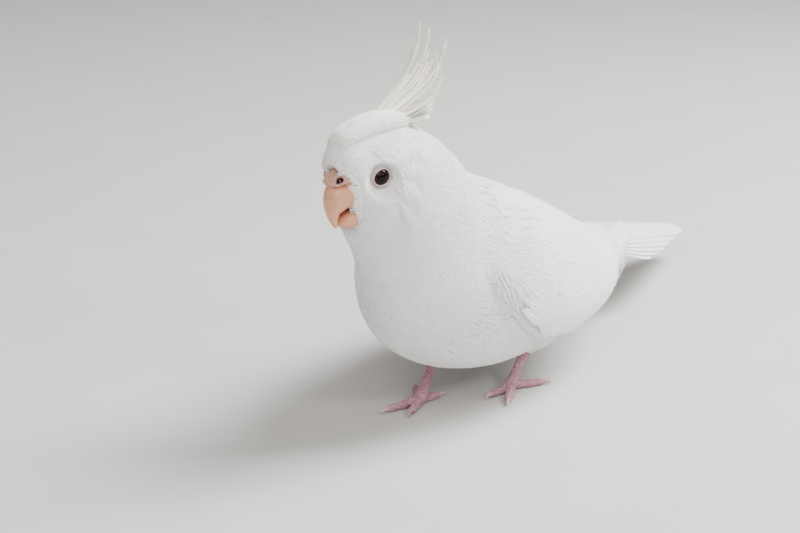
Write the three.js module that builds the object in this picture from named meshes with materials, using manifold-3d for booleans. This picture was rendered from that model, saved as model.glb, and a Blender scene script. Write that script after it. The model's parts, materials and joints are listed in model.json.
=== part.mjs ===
// A life-size white cockatiel, standing low with its crest up, as a museum model.
// Units are millimetres and +Z is up. The bird faces -X, and its left side is -Y.
import * as THREE from "three";
import { mergeVertices } from "three/addons/utils/BufferGeometryUtils.js";
import Module from "manifold-3d";

const wasm = await Module();
wasm.setup();

// General sizes
const GAP = 0.3; // air between two touching nodes
const VANE = 0.6; // thickness of a feather vane
const LEFT = -1;
const RIGHT = 1;

// The head: the point midway between the eyes, and how far the head is turned to the bird's right
const HEAD = { x: -62, y: 4, z: 106.7 };
const HEAD_TURN = THREE.MathUtils.degToRad(20);
const EYE_RADIUS = 3.7;
const EYE_DEPTH = 8.6; // from the middle plane to the centre of each eyeball
const EYE_SWING = THREE.MathUtils.degToRad(14); // the eyes look a little forward
const LID_RADIUS = 3.05; // radius of the opening between the lids
const LID_WIDTH = 1.5;

// Body stations from the face to the tail root. Each is a section through the bird:
// its top and bottom points in the middle plane, its half width, how far up the widest level lies,
// and how much of the head's turn and sideways shift it takes part in.
const BODY_RINGS = 26;
const BODY = {
  topX: [-72.4, -77.8, -74.6, -64, -50, -36, -23, -10, 7, 28, 50, 70, 85, 97],
  topZ: [109.2, 112.8, 119.0, 122.8, 122.6, 118, 109.5, 98.5, 91.5, 83.5, 73, 62.5, 54, 47],
  bottomX: [-68.3, -68.8, -68.2, -66.8, -64, -60.5, -56, -49, -38, -17, 12, 40, 66, 90],
  bottomZ: [88.5, 86.5, 84.5, 80, 74, 65.5, 55, 42.5, 30.5, 19.5, 12, 12.5, 21, 36],
  half: [5.2, 7.4, 10.6, 13.2, 15.4, 17.8, 21.6, 26.5, 30.8, 34, 34, 30.5, 22, 10.5],
  level: [0.5, 0.5, 0.5, 0.5, 0.5, 0.48, 0.47, 0.46, 0.46, 0.47, 0.48, 0.5, 0.5, 0.5],
  turn: [1, 1, 1, 1, 0.9, 0.68, 0.4, 0.15, 0, 0, 0, 0, 0, 0],
};
const HEAD_END = 4.4; // the loft's place where the head meets the neck
const NECK_END = 6.6; // and where the neck meets the torso
const BODY_END = BODY.half.length - 1;

// The envelope on whose sides the folded wings lie, from the bend of the wing to its tip
const WING = {
  topX: [-10, 10, 34, 58, 82, 108, 132, 157],
  topZ: [99.5, 91, 80, 67.5, 56, 49.5, 45.5, 42],
  bottomX: [-50, -28, 2, 34, 62, 94, 124, 155],
  bottomZ: [48, 27, 13, 12, 17, 26, 34, 38],
  half: [27, 34, 38, 38.5, 35, 27, 17, 5],
  level: [0.46, 0.46, 0.47, 0.48, 0.5, 0.5, 0.5, 0.5],
};
const WING_TOP = [44, 30, 22, 20, 20, 22, 30, 50]; // upper edge, degrees round from the top
const WING_LOW = [94, 106, 116, 113, 104, 99, 102, 118]; // lower edge
const WING_END = WING.half.length - 1;

// A smooth value between the numbers of a list, at a place that counts from its first number
function between(list, place) {
  const last = list.length - 1;
  const at = THREE.MathUtils.clamp(place, 0, last);
  const i = Math.min(Math.floor(at), last - 1);
  const t = at - i;
  const [p, q] = [list[i], list[i + 1]];
  const before = i > 0 ? list[i - 1] : 2 * p - q;
  const after = i + 2 <= last ? list[i + 2] : 2 * q - p;
  const square = 2 * before - 5 * p + 4 * q - after;
  const cube = 3 * p - before - 3 * q + after;
  return p + 0.5 * t * (q - before + t * (square + t * cube));
}

const smooth = (t) => THREE.MathUtils.smoothstep(t, 0, 1);
const mix = THREE.MathUtils.lerp;
const point = (x, y, z) => new THREE.Vector3(x, y, z);
const UP = point(0, 0, 1);

// One section of a form: its centre, its own axes and its radii
function sectionOf(form, place) {
  const top = point(between(form.topX, place), 0, between(form.topZ, place));
  const bottom = point(between(form.bottomX, place), 0, between(form.bottomZ, place));
  const level = between(form.level, place);
  const height = top.distanceTo(bottom);
  const up = top.clone().sub(bottom).normalize();
  const centre = bottom.addScaledVector(up, height * level);
  const turn = form.turn ? between(form.turn, place) : 0;
  // The turn is about the upright line through the middle of the head
  const pivot = point(HEAD.x, 0, 0);
  centre.sub(pivot).applyAxisAngle(UP, -HEAD_TURN * turn).add(pivot);
  centre.y += HEAD.y * turn;
  const turned = (axis) => axis.applyAxisAngle(UP, -HEAD_TURN * turn);
  return {
    centre,
    along: turned(point(up.z, 0, -up.x)),
    aside: turned(point(0, 1, 0)),
    up: turned(up),
    half: between(form.half, place),
    rise: height * (1 - level),
    fall: height * level,
  };
}

// A point on a form: angle is counted round from the top, towards +Y for the right side
function onForm(form, place, angle, side = RIGHT) {
  const s = sectionOf(form, place);
  const high = Math.cos(angle);
  return s.centre
    .clone()
    .addScaledVector(s.aside, side * s.half * Math.sin(angle))
    .addScaledVector(s.up, (high > 0 ? s.rise : s.fall) * high);
}

// The outward direction of a form's surface there
function normalOf(form, place, angle, side = RIGHT) {
  const e = 0.02;
  const last = form.half.length - 1;
  const at = (p, a) => onForm(form, THREE.MathUtils.clamp(p, 0, last), a, side);
  const back = at(place + e, angle).sub(at(place - e, angle));
  const round = at(place, angle + e).sub(at(place, angle - e));
  return back.cross(round).multiplyScalar(side).normalize();
}

// A closed geometry over a list of rings with equally many points, with a flat fan on each end
function skinOver(rings) {
  const count = rings[0].length;
  const faces = [];
  for (let r = 0; r + 1 < rings.length; r++) {
    for (let j = 0; j < count; j++) {
      const a = r * count + j;
      const b = r * count + ((j + 1) % count);
      // The lower face of a four-sided vane is split the same way as its upper face
      if (count === 4 && j === 2) faces.push(a, b, a + count, b, b + count, a + count);
      else faces.push(a, b, b + count, a, b + count, a + count);
    }
  }
  const end = (rings.length - 1) * count;
  for (let j = 1; j + 1 < count; j++) {
    faces.push(0, j + 1, j);
    faces.push(end, end + j, end + j + 1);
  }
  const geometry = new THREE.BufferGeometry().setFromPoints(rings.flat());
  return geometry.setIndex(faces);
}

// A geometry as a solid that can be joined and cut, turned right side out if need be
function solid(geometry) {
  const bare = geometry.clone();
  bare.deleteAttribute("normal");
  bare.deleteAttribute("uv");
  const merged = mergeVertices(bare, 1e-4);
  const vertProperties = new Float32Array(merged.attributes.position.array);
  const triVerts = new Uint32Array(merged.index.array);
  const made = new wasm.Manifold(new wasm.Mesh({ numProp: 3, vertProperties, triVerts }));
  if (made.volume() > 0) return made;
  for (let i = 0; i < triVerts.length; i += 3) {
    [triVerts[i], triVerts[i + 1]] = [triVerts[i + 1], triVerts[i]];
  }
  return new wasm.Manifold(new wasm.Mesh({ numProp: 3, vertProperties, triVerts }));
}

const join = (solids) => solids.reduce((a, b) => a.add(b));
const cut = (body, ...tools) => tools.reduce((a, b) => a.subtract(b), body);

// The largest closed surface of a solid, without loose scraps or sealed hollows
function largest(body) {
  const pieces = body.decompose();
  return pieces.reduce((a, b) => (b.volume() > a.volume() ? b : a));
}

const group = new THREE.Group();

function addNode(name, body, material) {
  const mesh = largest(body).getMesh();
  const geometry = new THREE.BufferGeometry();
  geometry.setAttribute("position", new THREE.BufferAttribute(mesh.vertProperties, 3));
  geometry.setIndex(new THREE.BufferAttribute(mesh.triVerts, 1));
  geometry.computeVertexNormals();
  const node = new THREE.Mesh(geometry, material);
  node.name = name;
  group.add(node);
}

const plumage = new THREE.MeshStandardMaterial({ color: 0xf1eee9, roughness: 0.9 });
const quills = new THREE.MeshStandardMaterial({ color: 0xf4f2ee, roughness: 0.75 });
const horn = new THREE.MeshStandardMaterial({ color: 0xd9a684, roughness: 0.45 });
const cereSkin = new THREE.MeshStandardMaterial({ color: 0xdcb6a6, roughness: 0.6 });
const legSkin = new THREE.MeshStandardMaterial({ color: 0xb9808a, roughness: 0.6 });
const eyeGloss = new THREE.MeshStandardMaterial({ color: 0x1c0d0e, roughness: 0.05 });
const mouthSkin = new THREE.MeshStandardMaterial({ color: 0x8d4550, roughness: 0.5 });

// Places along a form from one to another, evenly spaced
const steps = (from, to, count) =>
  Array.from({ length: count + 1 }, (_, r) => mix(from, to, r / count));
const HEAD_PLACES = steps(0, HEAD_END, 15);
const NECK_PLACES = steps(HEAD_END, NECK_END, 7);
const TORSO_PLACES = steps(NECK_END, BODY_END, 18);

// Rings of the body at some places, with each end moved along the body by a shift
function bodyRings(places, grow = 0, startShift = 0, endShift = 0) {
  return places.map((place, r) => {
    const shift = r === 0 ? startShift : r === places.length - 1 ? endShift : 0;
    const step = sectionOf(BODY, place).along.multiplyScalar(shift);
    return Array.from({ length: BODY_RINGS }, (_, j) =>
      onForm(BODY, place, (2 * Math.PI * j) / BODY_RINGS)
        .addScaledVector(normalOf(BODY, place, (2 * Math.PI * j) / BODY_RINGS), grow)
        .add(step),
    );
  });
}

// A point of the head's own frame: forward of the eyes, to its left, and above them
function inHead(forward, left, above) {
  return point(-forward, -left, above)
    .applyAxisAngle(UP, -HEAD_TURN)
    .add(point(HEAD.x, HEAD.y, HEAD.z));
}

// A ball of few faces
function ball(centre, radius, across = 12, down = 8) {
  return new THREE.SphereGeometry(radius, across, down).translate(centre.x, centre.y, centre.z);
}

// Head, with eye sockets and a raised lid round each eye
const wholeBody = [...HEAD_PLACES, ...NECK_PLACES.slice(1), ...TORSO_PLACES.slice(1)];
const bodyGrown = solid(skinOver(bodyRings(wholeBody, GAP, -GAP, GAP)));
const eyes = [LEFT, RIGHT].map((side) => {
  const outward = point(-Math.sin(EYE_SWING), side * Math.cos(EYE_SWING), 0)
    .applyAxisAngle(UP, -HEAD_TURN);
  const centre = inHead(0.4, -side * EYE_DEPTH, 0);
  return { side, outward, centre, name: side === LEFT ? "left" : "right" };
});

function lidRing({ centre, outward }) {
  const face = Math.sqrt((EYE_RADIUS + GAP) ** 2 - LID_RADIUS ** 2);
  const outer = LID_RADIUS + LID_WIDTH;
  const profile = [
    [LID_RADIUS - 0.3, face - 2],
    [LID_RADIUS - 0.1, face + 0.25],
    [LID_RADIUS + 0.35, face + 0.6],
    [LID_RADIUS + 0.9, face + 0.35],
    [outer, face - 0.7],
    [outer, face - 2],
    [LID_RADIUS - 0.3, face - 2],
  ].map(([r, h]) => new THREE.Vector2(r, h));
  const turn = new THREE.Quaternion().setFromUnitVectors(point(0, 1, 0), outward);
  return new THREE.LatheGeometry(profile, 16).applyQuaternion(turn).translate(...centre.toArray());
}

// The shallow hollow round the eye that the lids stand in
function orbit({ centre, outward }) {
  const profile = [
    [0, 0.6],
    [LID_RADIUS + LID_WIDTH - 0.4, 1.3],
    [LID_RADIUS + LID_WIDTH + 0.2, 2.4],
    [LID_RADIUS + LID_WIDTH + 1.2, 7],
    [0, 7],
  ].map(([r, h]) => new THREE.Vector2(r, h));
  const turn = new THREE.Quaternion().setFromUnitVectors(point(0, 1, 0), outward);
  return new THREE.LatheGeometry(profile, 16).applyQuaternion(turn).translate(...centre.toArray());
}

const sockets = eyes.map((eye) => solid(ball(eye.centre, EYE_RADIUS + GAP, 16, 10)));
const headLoft = solid(skinOver(bodyRings(HEAD_PLACES)));
const lids = eyes.map((eye) => solid(lidRing(eye)));
const bareHead = cut(headLoft, ...eyes.map((eye) => solid(orbit(eye))));
addNode("head", cut(join([bareHead, ...lids]), ...sockets), plumage);
eyes.forEach((eye) => {
  addNode(`eye_${eye.name}`, solid(ball(eye.centre, EYE_RADIUS, 16, 10)), eyeGloss);
});
addNode("neck", solid(skinOver(bodyRings(NECK_PLACES, 0, GAP))), plumage);
addNode("torso", solid(skinOver(bodyRings(TORSO_PLACES, 0, GAP))), plumage);

// A ring in the head's frame between an upper and a lower point, with a half width
function headRing(upper, lower, half, count = 14) {
  const middle = [(upper[0] + lower[0]) / 2, (upper[1] + lower[1]) / 2];
  const reach = [(upper[0] - lower[0]) / 2, (upper[1] - lower[1]) / 2];
  return Array.from({ length: count }, (_, j) => {
    const angle = (2 * Math.PI * j) / count;
    const high = Math.cos(angle);
    return inHead(middle[0] + reach[0] * high, half * Math.sin(angle), middle[1] + reach[1] * high);
  });
}

// Bill and cere: sections as [upper point, lower point, half width], each point [forward, above]
const UPPER_BILL = [
  [[5.5, -1.8], [4.6, -9.6], 5.6],
  [[12.0, -2.2], [8.0, -10.5], 5.4],
  [[15.5, -3.4], [10.4, -11.6], 4.8],
  [[17.0, -7.4], [12.2, -12.6], 4.1],
  [[17.0, -11.4], [13.1, -13.6], 3.1],
  [[16.1, -14.8], [13.1, -15.6], 2.0],
  [[14.6, -17.5], [13.0, -17.5], 1.0],
  [[13.4, -18.9], [12.9, -18.7], 0.4],
];
const LOWER_BILL = [
  [[4.5, -12.4], [4.8, -18.6], 4.7],
  [[8.0, -13.0], [8.2, -19.2], 4.5],
  [[10.2, -14.0], [10.4, -19.2], 3.8],
  [[11.8, -15.2], [11.6, -18.6], 2.8],
  [[12.3, -16.2], [12.2, -17.6], 1.6],
];
const CERE = [
  [[6.5, 3.4], [5.5, -2.0], 5.6],
  [[12.2, 2.4], [10.5, -2.2], 5.5],
  [[14.8, 1.0], [13.0, -2.4], 4.9],
  [[16.0, -1.0], [14.6, -2.9], 3.9],
  [[16.3, -2.2], [15.7, -3.3], 2.6],
];
const NOSTRIL = { forward: 13.7, left: 3.9, above: -0.5, radius: 1.1, rim: 1.9 };
const TONGUE = [
  [[5.5, -11.4], [5.5, -12.6], 2.2],
  [[9.3, -12.2], [9.2, -13.2], 2.0],
  [[11.4, -13.6], [11.2, -14.4], 1.1],
];
const fromSections = (list, count) =>
  solid(skinOver(list.map(([upper, lower, half]) => headRing(upper, lower, half, count))));
const nostrils = [LEFT, RIGHT].map((side) =>
  inHead(NOSTRIL.forward, side * NOSTRIL.left, NOSTRIL.above),
);
const cereForm = join([
  fromSections(CERE, 14),
  ...nostrils.map((centre) => solid(ball(centre, NOSTRIL.rim, 10, 6))),
]);
const outwardNostrils = [LEFT, RIGHT].map((side) =>
  inHead(NOSTRIL.forward + 0.9, side * (NOSTRIL.left + 1.6), NOSTRIL.above + 0.2),
);
const pits = outwardNostrils.map((centre) => solid(ball(centre, NOSTRIL.radius, 8, 6)));
const upperBill = cut(fromSections(UPPER_BILL, 14), bodyGrown);
const grownBill = fromSections(
  UPPER_BILL.map(([upper, lower, half]) => [
    [upper[0] + GAP, upper[1] + GAP],
    [lower[0], lower[1]],
    half + GAP,
  ]),
  14,
);
addNode("bill_upper", upperBill, horn);
addNode("cere", cut(cereForm, bodyGrown, grownBill, ...pits), cereSkin);
const lowerBill = fromSections(LOWER_BILL, 12);
addNode("bill_lower", cut(lowerBill, bodyGrown), horn);
const underTongue = lowerBill.translate([0, 0, GAP]);
addNode("tongue", cut(fromSections(TONGUE, 8), bodyGrown, lowerBill, underTongue), mouthSkin);

// A feather vane: a thin four-sided blade along a spine of points, with a normal at each.
// Its upper edge is sunk and its lower edge raised by the tilt, so that neighbours lie as tiles do.
const LONG_FEATHER = [[0, 0.55], [0.25, 0.9], [0.5, 1], [0.75, 0.92], [0.9, 0.7], [1, 0.22]];
const SHORT_FEATHER = [[0, 0.7], [0.45, 1], [0.8, 0.82], [1, 0.3]];
function vane(spine, normalAt, width, profile, { tilt = 0, thick = VANE } = {}) {
  const step = 0.02;
  const rings = profile.map(([t, share]) => {
    const here = spine(t);
    const ahead = spine(Math.min(1, t + step)).sub(spine(Math.max(0, t - step))).normalize();
    const normal = normalAt(t);
    const aside = normal.clone().cross(ahead).normalize();
    const half = (width * share) / 2;
    const deep = (thick / 2) * (t === 1 ? 0.6 : 1);
    const lean = tilt * share;
    return [[half, -lean + deep], [-half, lean + deep], [-half, lean - deep], [half, -lean - deep]].map(
      ([across, out]) => here.clone().addScaledVector(aside, across).addScaledVector(normal, out),
    );
  });
  return solid(skinOver(rings));
}

// Crest: each feather starts on the crown, lies back along it, then bends up to its tip.
// Columns: root [forward, above], tip [forward, above], sideways tip, width
const CREST = [
  { root: [10.5, 9.5], tip: [-25.8, 52.2], aside: 0.2, width: 3.2 },
  { root: [8.8, 10.8], tip: [-31.6, 48.8], aside: -1.6, width: 3.6 },
  { root: [7.0, 11.8], tip: [-36.6, 44.8], aside: 1.8, width: 3.2 },
  { root: [5.0, 12.4], tip: [-35.4, 38.4], aside: -1.6, width: 3.8 },
  { root: [2.5, 13.0], tip: [-34.6, 31.0], aside: 2.0, width: 4.2 },
  { root: [0, 13.5], tip: [-33.2, 24.8], aside: -2.2, width: 4.2 },
  { root: [-3.5, 13.8], tip: [-30.0, 19.4], aside: 2.0, width: 4.2 },
  { root: [-7.5, 13.9], tip: [-26.6, 14.6], aside: -1.4, width: 4.0 },
];
const CREST_SIDES = 3.2; // how far the outer crest roots stand from the middle
function crestFeather({ root, tip, aside, width }, spread) {
  const rise = tip[1] - root[1];
  const run = tip[0] - root[0];
  const left = aside + spread;
  const ends = [
    inHead(root[0], spread * 0.8, root[1]),
    inHead(root[0] + run * 0.45, left * 0.6, root[1] + rise * 0.25 + 1.5),
    inHead(root[0] + run * 0.98, left, root[1] + rise * 0.5),
    inHead(tip[0], left, tip[1]),
  ];
  const curve = new THREE.CubicBezierCurve3(...ends);
  const side = inHead(0, 1, 0).sub(inHead(0, 0, 0));
  return vane(
    (t) => curve.getPoint(t),
    (t) => curve.getTangent(t).cross(side).normalize().negate(),
    width,
    [[0, 0.8], [0.3, 1], [0.6, 0.8], [0.85, 0.42], [1, 0.16]],
    { thick: 0.9 },
  );
}
const crestFeathers = [
  ...CREST.map((feather) => crestFeather(feather, 0)),
  ...CREST.slice(3, 7).flatMap((feather) =>
    [-CREST_SIDES, CREST_SIDES].map((spread) => {
      const tip = [feather.tip[0] + 3, feather.tip[1] - 2.5];
      return crestFeather({ ...feather, tip, aside: feather.aside * 0.4 }, spread);
    }),
  ),
];
// The crest's own base: a low pad along the crown that the feathers root in
const crestPad = fromSections(
  [
    [[11.5, 9.8], [11.0, 6], 2.4],
    [[8.0, 14.6], [7.5, 9], 4.2],
    [[0, 18.4], [0, 10], 5.4],
    [[-9, 19.6], [-9, 11], 5.2],
    [[-16, 18.6], [-16, 12], 3.6],
    [[-21, 16.5], [-21, 13], 1.6],
  ],
  12,
);
addNode("crest", cut(join([crestPad, ...crestFeathers]), bodyGrown), quills);

// A point of the folded wing: along runs from the bend to the tip, down from its upper edge
// to its lower one, and out stands off the envelope. It is an angle on the wing's envelope.
function wingAngle(place, down) {
  const angle = mix(between(WING_TOP, place), between(WING_LOW, place), down);
  return THREE.MathUtils.degToRad(angle);
}
function wingNormal(side, along, down) {
  const place = along * WING_END;
  return normalOf(WING, place, wingAngle(place, down), side);
}
function onWing(side, along, down, out = 0) {
  const place = along * WING_END;
  const angle = wingAngle(place, down);
  return onForm(WING, place, angle, side).addScaledVector(wingNormal(side, along, down), out);
}

// A wing feather from one place of the wing to another. It leaves the wing's base at the
// first height above the envelope and soon rises to the second.
function wingFeather(side, from, to, width, profile, { lift = [-1.5, 1], tilt = 0.6 } = {}) {
  const at = (t) => [mix(from[0], to[0], t), mix(from[1], to[1], t)];
  return vane(
    (t) => onWing(side, ...at(t), mix(lift[0], lift[1], smooth(t / 0.5))),
    (t) => wingNormal(side, ...at(t)),
    width,
    profile,
    { tilt: -tilt * side },
  );
}

// The wing's base: a blister over the side of the body, sunk into the body all round its edge
const BASE_REACH = 0.56; // how far back it goes, as a share of the wing
function wingBase(side) {
  const rows = 8;
  const columns = 6;
  const rings = [];
  for (let r = 0; r <= rows; r++) {
    const along = mix(0.02, BASE_REACH, r / rows);
    const ends = smooth(r / rows / 0.25) * smooth((1 - r / rows) / 0.4);
    const depth = mix(9, 4, smooth((along - 0.35) / 0.25));
    const outer = [];
    const inner = [];
    for (let c = 0; c <= columns; c++) {
      const down = c / columns;
      const edge = smooth(Math.min(down, 1 - down) / 0.25) * ends;
      outer.push(onWing(side, along, down, mix(-depth * 0.7, -0.6, edge)));
      inner.unshift(onWing(side, along, down, -depth));
    }
    rings.push([...outer, ...inner]);
  }
  return solid(skinOver(rings));
}

const PRIMARIES = 6;
const SECONDARIES = 6;
const GREATER_COVERTS = 6;
const MEDIAN_COVERTS = 5;
const SCAPULARS = 3;
const share = (i, count) => i / (count - 1);
function wingFeathers(side) {
  const feathers = [];
  const add = (...feather) => feathers.push(wingFeather(side, ...feather));
  for (let i = 0; i < PRIMARIES; i++) {
    const t = share(i, PRIMARIES);
    const from = [mix(0.4, 0.34, t), mix(0.5, 0.9, t)];
    const to = [mix(0.8, 0.985, t ** 0.7), mix(0.4, 0.6, t)];
    add(from, to, mix(10, 8, t), LONG_FEATHER, { lift: [-2, mix(0.6, -4, t)], tilt: 0.4 });
  }
  for (let i = 0; i < SECONDARIES; i++) {
    const t = share(i, SECONDARIES);
    const from = [mix(0.3, 0.3, t), mix(0.1, 0.9, t)];
    const to = [mix(0.66, 0.54, t), mix(0.1, 0.93, t)];
    add(from, to, 15, LONG_FEATHER, { lift: [-2.4, mix(1.8, 0.8, t)] });
  }
  for (let i = 0; i < GREATER_COVERTS; i++) {
    const t = share(i, GREATER_COVERTS);
    const from = [mix(0.2, 0.16, t), mix(0.14, 0.86, t)];
    const to = [mix(0.42, 0.41, t) - 0.03 * Math.sin(Math.PI * t), mix(0.17, 1, t)];
    add(from, to, 14.5, SHORT_FEATHER, { lift: [-2.2, 2.2] });
  }
  for (let i = 0; i < MEDIAN_COVERTS; i++) {
    const t = share(i, MEDIAN_COVERTS);
    const from = [mix(0.1, 0.08, t), mix(0.2, 0.84, t)];
    const to = [mix(0.28, 0.28, t), mix(0.24, 0.95, t)];
    add(from, to, 15.5, SHORT_FEATHER, { lift: [-2.4, 2.8] });
  }
  for (let i = 0; i < SCAPULARS; i++) {
    const t = share(i, SCAPULARS);
    const from = [mix(0.08, 0.3, t), 0.14];
    const to = [mix(0.24, 0.52, t), 0.04];
    add(from, to, 13, SHORT_FEATHER, { lift: [-3, 3], tilt: 0.4 });
  }
  return feathers;
}

// The tail: coverts as a short cone behind the torso, and twelve graduated feathers
const TAIL_ROOT = point(93.5, 0, 42);
const TAIL_LENGTH = 137;
const TAIL_SLOPE = THREE.MathUtils.degToRad(12);
const TAIL_ROLL = THREE.MathUtils.degToRad(16); // the left side hangs lower
const TAIL_PAIRS = 6;
const TAIL_SPREAD = THREE.MathUtils.degToRad(6.5); // the outermost feather's angle from the middle
function onTail(back, aside, above = 0) {
  const roll = TAIL_ROLL * smooth(back / 60);
  return point(back, aside, above)
    .applyAxisAngle(point(1, 0, 0), roll)
    .applyAxisAngle(point(0, 1, 0), TAIL_SLOPE)
    .add(TAIL_ROOT);
}
function tailFeather(pair, side) {
  const t = pair / (TAIL_PAIRS - 1);
  const reach = TAIL_LENGTH * mix(1, 0.5, t ** 0.85);
  const angle = TAIL_SPREAD * t;
  const droop = 1.1 * pair;
  return vane(
    (s) => {
      const along = mix(4, reach, s);
      const aside = side * (1.9 + pair * 0.9 + along * Math.sin(angle));
      return onTail(along, aside, 3.4 - droop * 0.9 - 0.12 * Math.abs(aside));
    },
    () => point(Math.sin(TAIL_SLOPE), 0, Math.cos(TAIL_SLOPE)),
    mix(7.6, 9.6, t),
    [[0, 0.5], [0.3, 0.85], [0.6, 1], [0.82, 0.8], [0.94, 0.45], [1, 0.12]],
    { tilt: -0.35 * side },
  );
}
function tailCone() {
  const stations = [
    { back: 0, half: 9.6, rise: 5.2, fall: 5.6 },
    { back: 9, half: 9.2, rise: 5.0, fall: 5.4 },
    { back: 20, half: 8.6, rise: 4.2, fall: 4.6 },
    { back: 32, half: 7.4, rise: 3.4, fall: 3.6 },
    { back: 42, half: 4.6, rise: 2.6, fall: 2.2 },
  ];
  return solid(
    skinOver(
      stations.map(({ back, half, rise, fall }) =>
        Array.from({ length: 16 }, (_, j) => {
          const angle = (2 * Math.PI * j) / 16;
          const high = Math.cos(angle);
          return onTail(back, half * Math.sin(angle), (high > 0 ? rise : fall) * high);
        }),
      ),
    ),
  );
}
const tailVanes = [];
for (let pair = 0; pair < TAIL_PAIRS; pair++) {
  for (const side of [LEFT, RIGHT]) tailVanes.push(tailFeather(pair, side));
}
const tailSolid = largest(cut(join([tailCone(), ...tailVanes]), bodyGrown));
addNode("tail", tailSolid, quills);

// Each wing stays on its own side of the middle plane, clear of the body and the tail
const halfSpace = (side) =>
  solid(new THREE.BoxGeometry(400, 100, 200).translate(0, side * (50 + GAP), 60));
const tailClear = join([
  tailSolid.translate([0, 0, GAP]),
  tailSolid.translate([0, 0, -GAP]),
  tailSolid,
]);
for (const side of [LEFT, RIGHT]) {
  const raw = join([wingBase(side), ...wingFeathers(side)]);
  const kept = cut(raw.intersect(halfSpace(side)), bodyGrown, tailClear);
  addNode(`wing_${side === LEFT ? "left" : "right"}`, kept, quills);
}

// Legs: where each ankle and foot stands
const LEGS = [
  { name: "left", side: LEFT, foot: point(22, -14, 0), ankle: point(34, -14.5, 15) },
  { name: "right", side: RIGHT, foot: point(-10, 10, 0), ankle: point(5, 12, 15) },
];
const ANKLE_RADIUS = 2.7;
const SHANK_RADIUS = 2.0;
const TOE_RADIUS = 1.9;
// Two toes point forward and two back: [angle from straight ahead, outwards, length]
const TOES = [
  { name: "inner_front", angle: -12, length: 12.5 },
  { name: "outer_front", angle: 22, length: 16 },
  { name: "outer_back", angle: 142, length: 13.5 },
  { name: "inner_back", angle: -160, length: 9 },
];

// A round limb through a list of [point, radius]
function limb(stops, count = 7) {
  const rings = stops.map(([at, radius], i) => {
    const ahead = stops[Math.min(i + 1, stops.length - 1)][0]
      .clone()
      .sub(stops[Math.max(i - 1, 0)][0])
      .normalize();
    const aside = point(0, 1, 0).cross(ahead).normalize();
    const over = ahead.clone().cross(aside).normalize();
    return Array.from({ length: count }, (_, j) => {
      const angle = (2 * Math.PI * (j + 0.5)) / count;
      return at
        .clone()
        .addScaledVector(aside, radius * Math.cos(angle))
        .addScaledVector(over, radius * Math.sin(angle));
    });
  });
  return solid(skinOver(rings));
}

const floorBlock = solid(new THREE.BoxGeometry(400, 200, 40).translate(0, 0, -20));
for (const { name, side, foot, ankle } of LEGS) {
  const palm = foot.clone().add(point(0, 0, 2.6));
  const shin = ankle.clone().sub(palm);
  const shinLength = shin.length();
  const along = (mm) => palm.clone().addScaledVector(shin, mm / shinLength);

  // Thigh: the feathered part, sunk in the belly and narrowing to the ankle
  const hip = ankle.clone().add(point(-3, side * 5, 22));
  const thigh = limb(
    [
      [hip, 12],
      [ankle.clone().lerp(hip, 0.7), 13.2],
      [ankle.clone().lerp(hip, 0.42), 12],
      [ankle.clone().lerp(hip, 0.18), 8.6],
      [ankle.clone().lerp(hip, 0.02), 5.2],
      [ankle.clone().lerp(hip, -0.08), 3.4],
    ],
    16,
  );
  const shank = limb([
    [along(2.9), SHANK_RADIUS + 0.5],
    [along(5), SHANK_RADIUS],
    [along(shinLength - 7), SHANK_RADIUS],
    [along(shinLength - 3.5), ANKLE_RADIUS],
    [along(shinLength + 1), ANKLE_RADIUS],
  ]);
  const shankGrown = limb([
    [along(-4), SHANK_RADIUS + 0.5 + GAP],
    [along(5), SHANK_RADIUS + GAP],
    [along(shinLength - 7), SHANK_RADIUS + GAP],
    [along(shinLength - 3.5), ANKLE_RADIUS + GAP],
    [along(shinLength + 1 + GAP), ANKLE_RADIUS + GAP],
  ]);
  addNode(`thigh_${name}`, cut(thigh, bodyGrown, shankGrown, floorBlock), plumage);
  addNode(`shank_${name}`, cut(shank, bodyGrown), legSkin);

  const toes = TOES.map(({ angle, length }) => {
    const turn = THREE.MathUtils.degToRad(angle);
    const ahead = point(-Math.cos(turn), side * Math.sin(turn), 0);
    const at = (mm, height) => foot.clone().addScaledVector(ahead, mm).add(point(0, 0, height));
    const base = TOE_RADIUS - 0.35;
    return limb([
      [at(-1.5, 2.3), TOE_RADIUS],
      [at(length * 0.28, 1.9), TOE_RADIUS * 0.98],
      [at(length * 0.42, 1.6), TOE_RADIUS * 0.82],
      [at(length * 0.6, base), TOE_RADIUS * 0.95],
      [at(length * 0.76, base - 0.1), TOE_RADIUS * 0.76],
      [at(length * 0.9, base - 0.1), TOE_RADIUS * 0.84],
      [at(length, base - 0.1), TOE_RADIUS * 0.6],
    ]);
  });
  const palmBall = solid(ball(palm, 2.9, 10, 8));
  const shankCut = limb([
    [along(2.9 - GAP), SHANK_RADIUS + 1.2],
    [along(8), SHANK_RADIUS + 1.2],
  ]);
  addNode(`foot_${name}`, cut(join([palmBall, ...toes]), floorBlock, shankCut), legSkin);

  for (const { name: toe, angle, length } of TOES) {
    const turn = THREE.MathUtils.degToRad(angle);
    const ahead = point(-Math.cos(turn), side * Math.sin(turn), 0);
    const at = (mm, height) =>
      foot.clone().addScaledVector(ahead, length + GAP + mm).add(point(0, 0, height));
    const claw = limb(
      [
        [at(0, 1.55), 1.0],
        [at(1.6, 1.6), 0.85],
        [at(3.1, 1.2), 0.6],
        [at(4.2, 0.6), 0.25],
      ],
      6,
    );
    addNode(`claw_${name}_${toe}`, claw, horn);
  }
}

// The origin is the middle of the model's foot print, on the floor
const box = new THREE.Box3().setFromObject(group);
const middle = box.getCenter(new THREE.Vector3());
group.position.set(-middle.x, -middle.y, -box.min.z);

export default group;
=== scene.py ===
# %% [markdown]
# A white cockatiel, life size, standing low with its crest up and its head turned.
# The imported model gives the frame. This script dresses it: one skin, a coat of small
# feathers, the large feathers of wings, tail and crest, and the bare parts.

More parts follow.
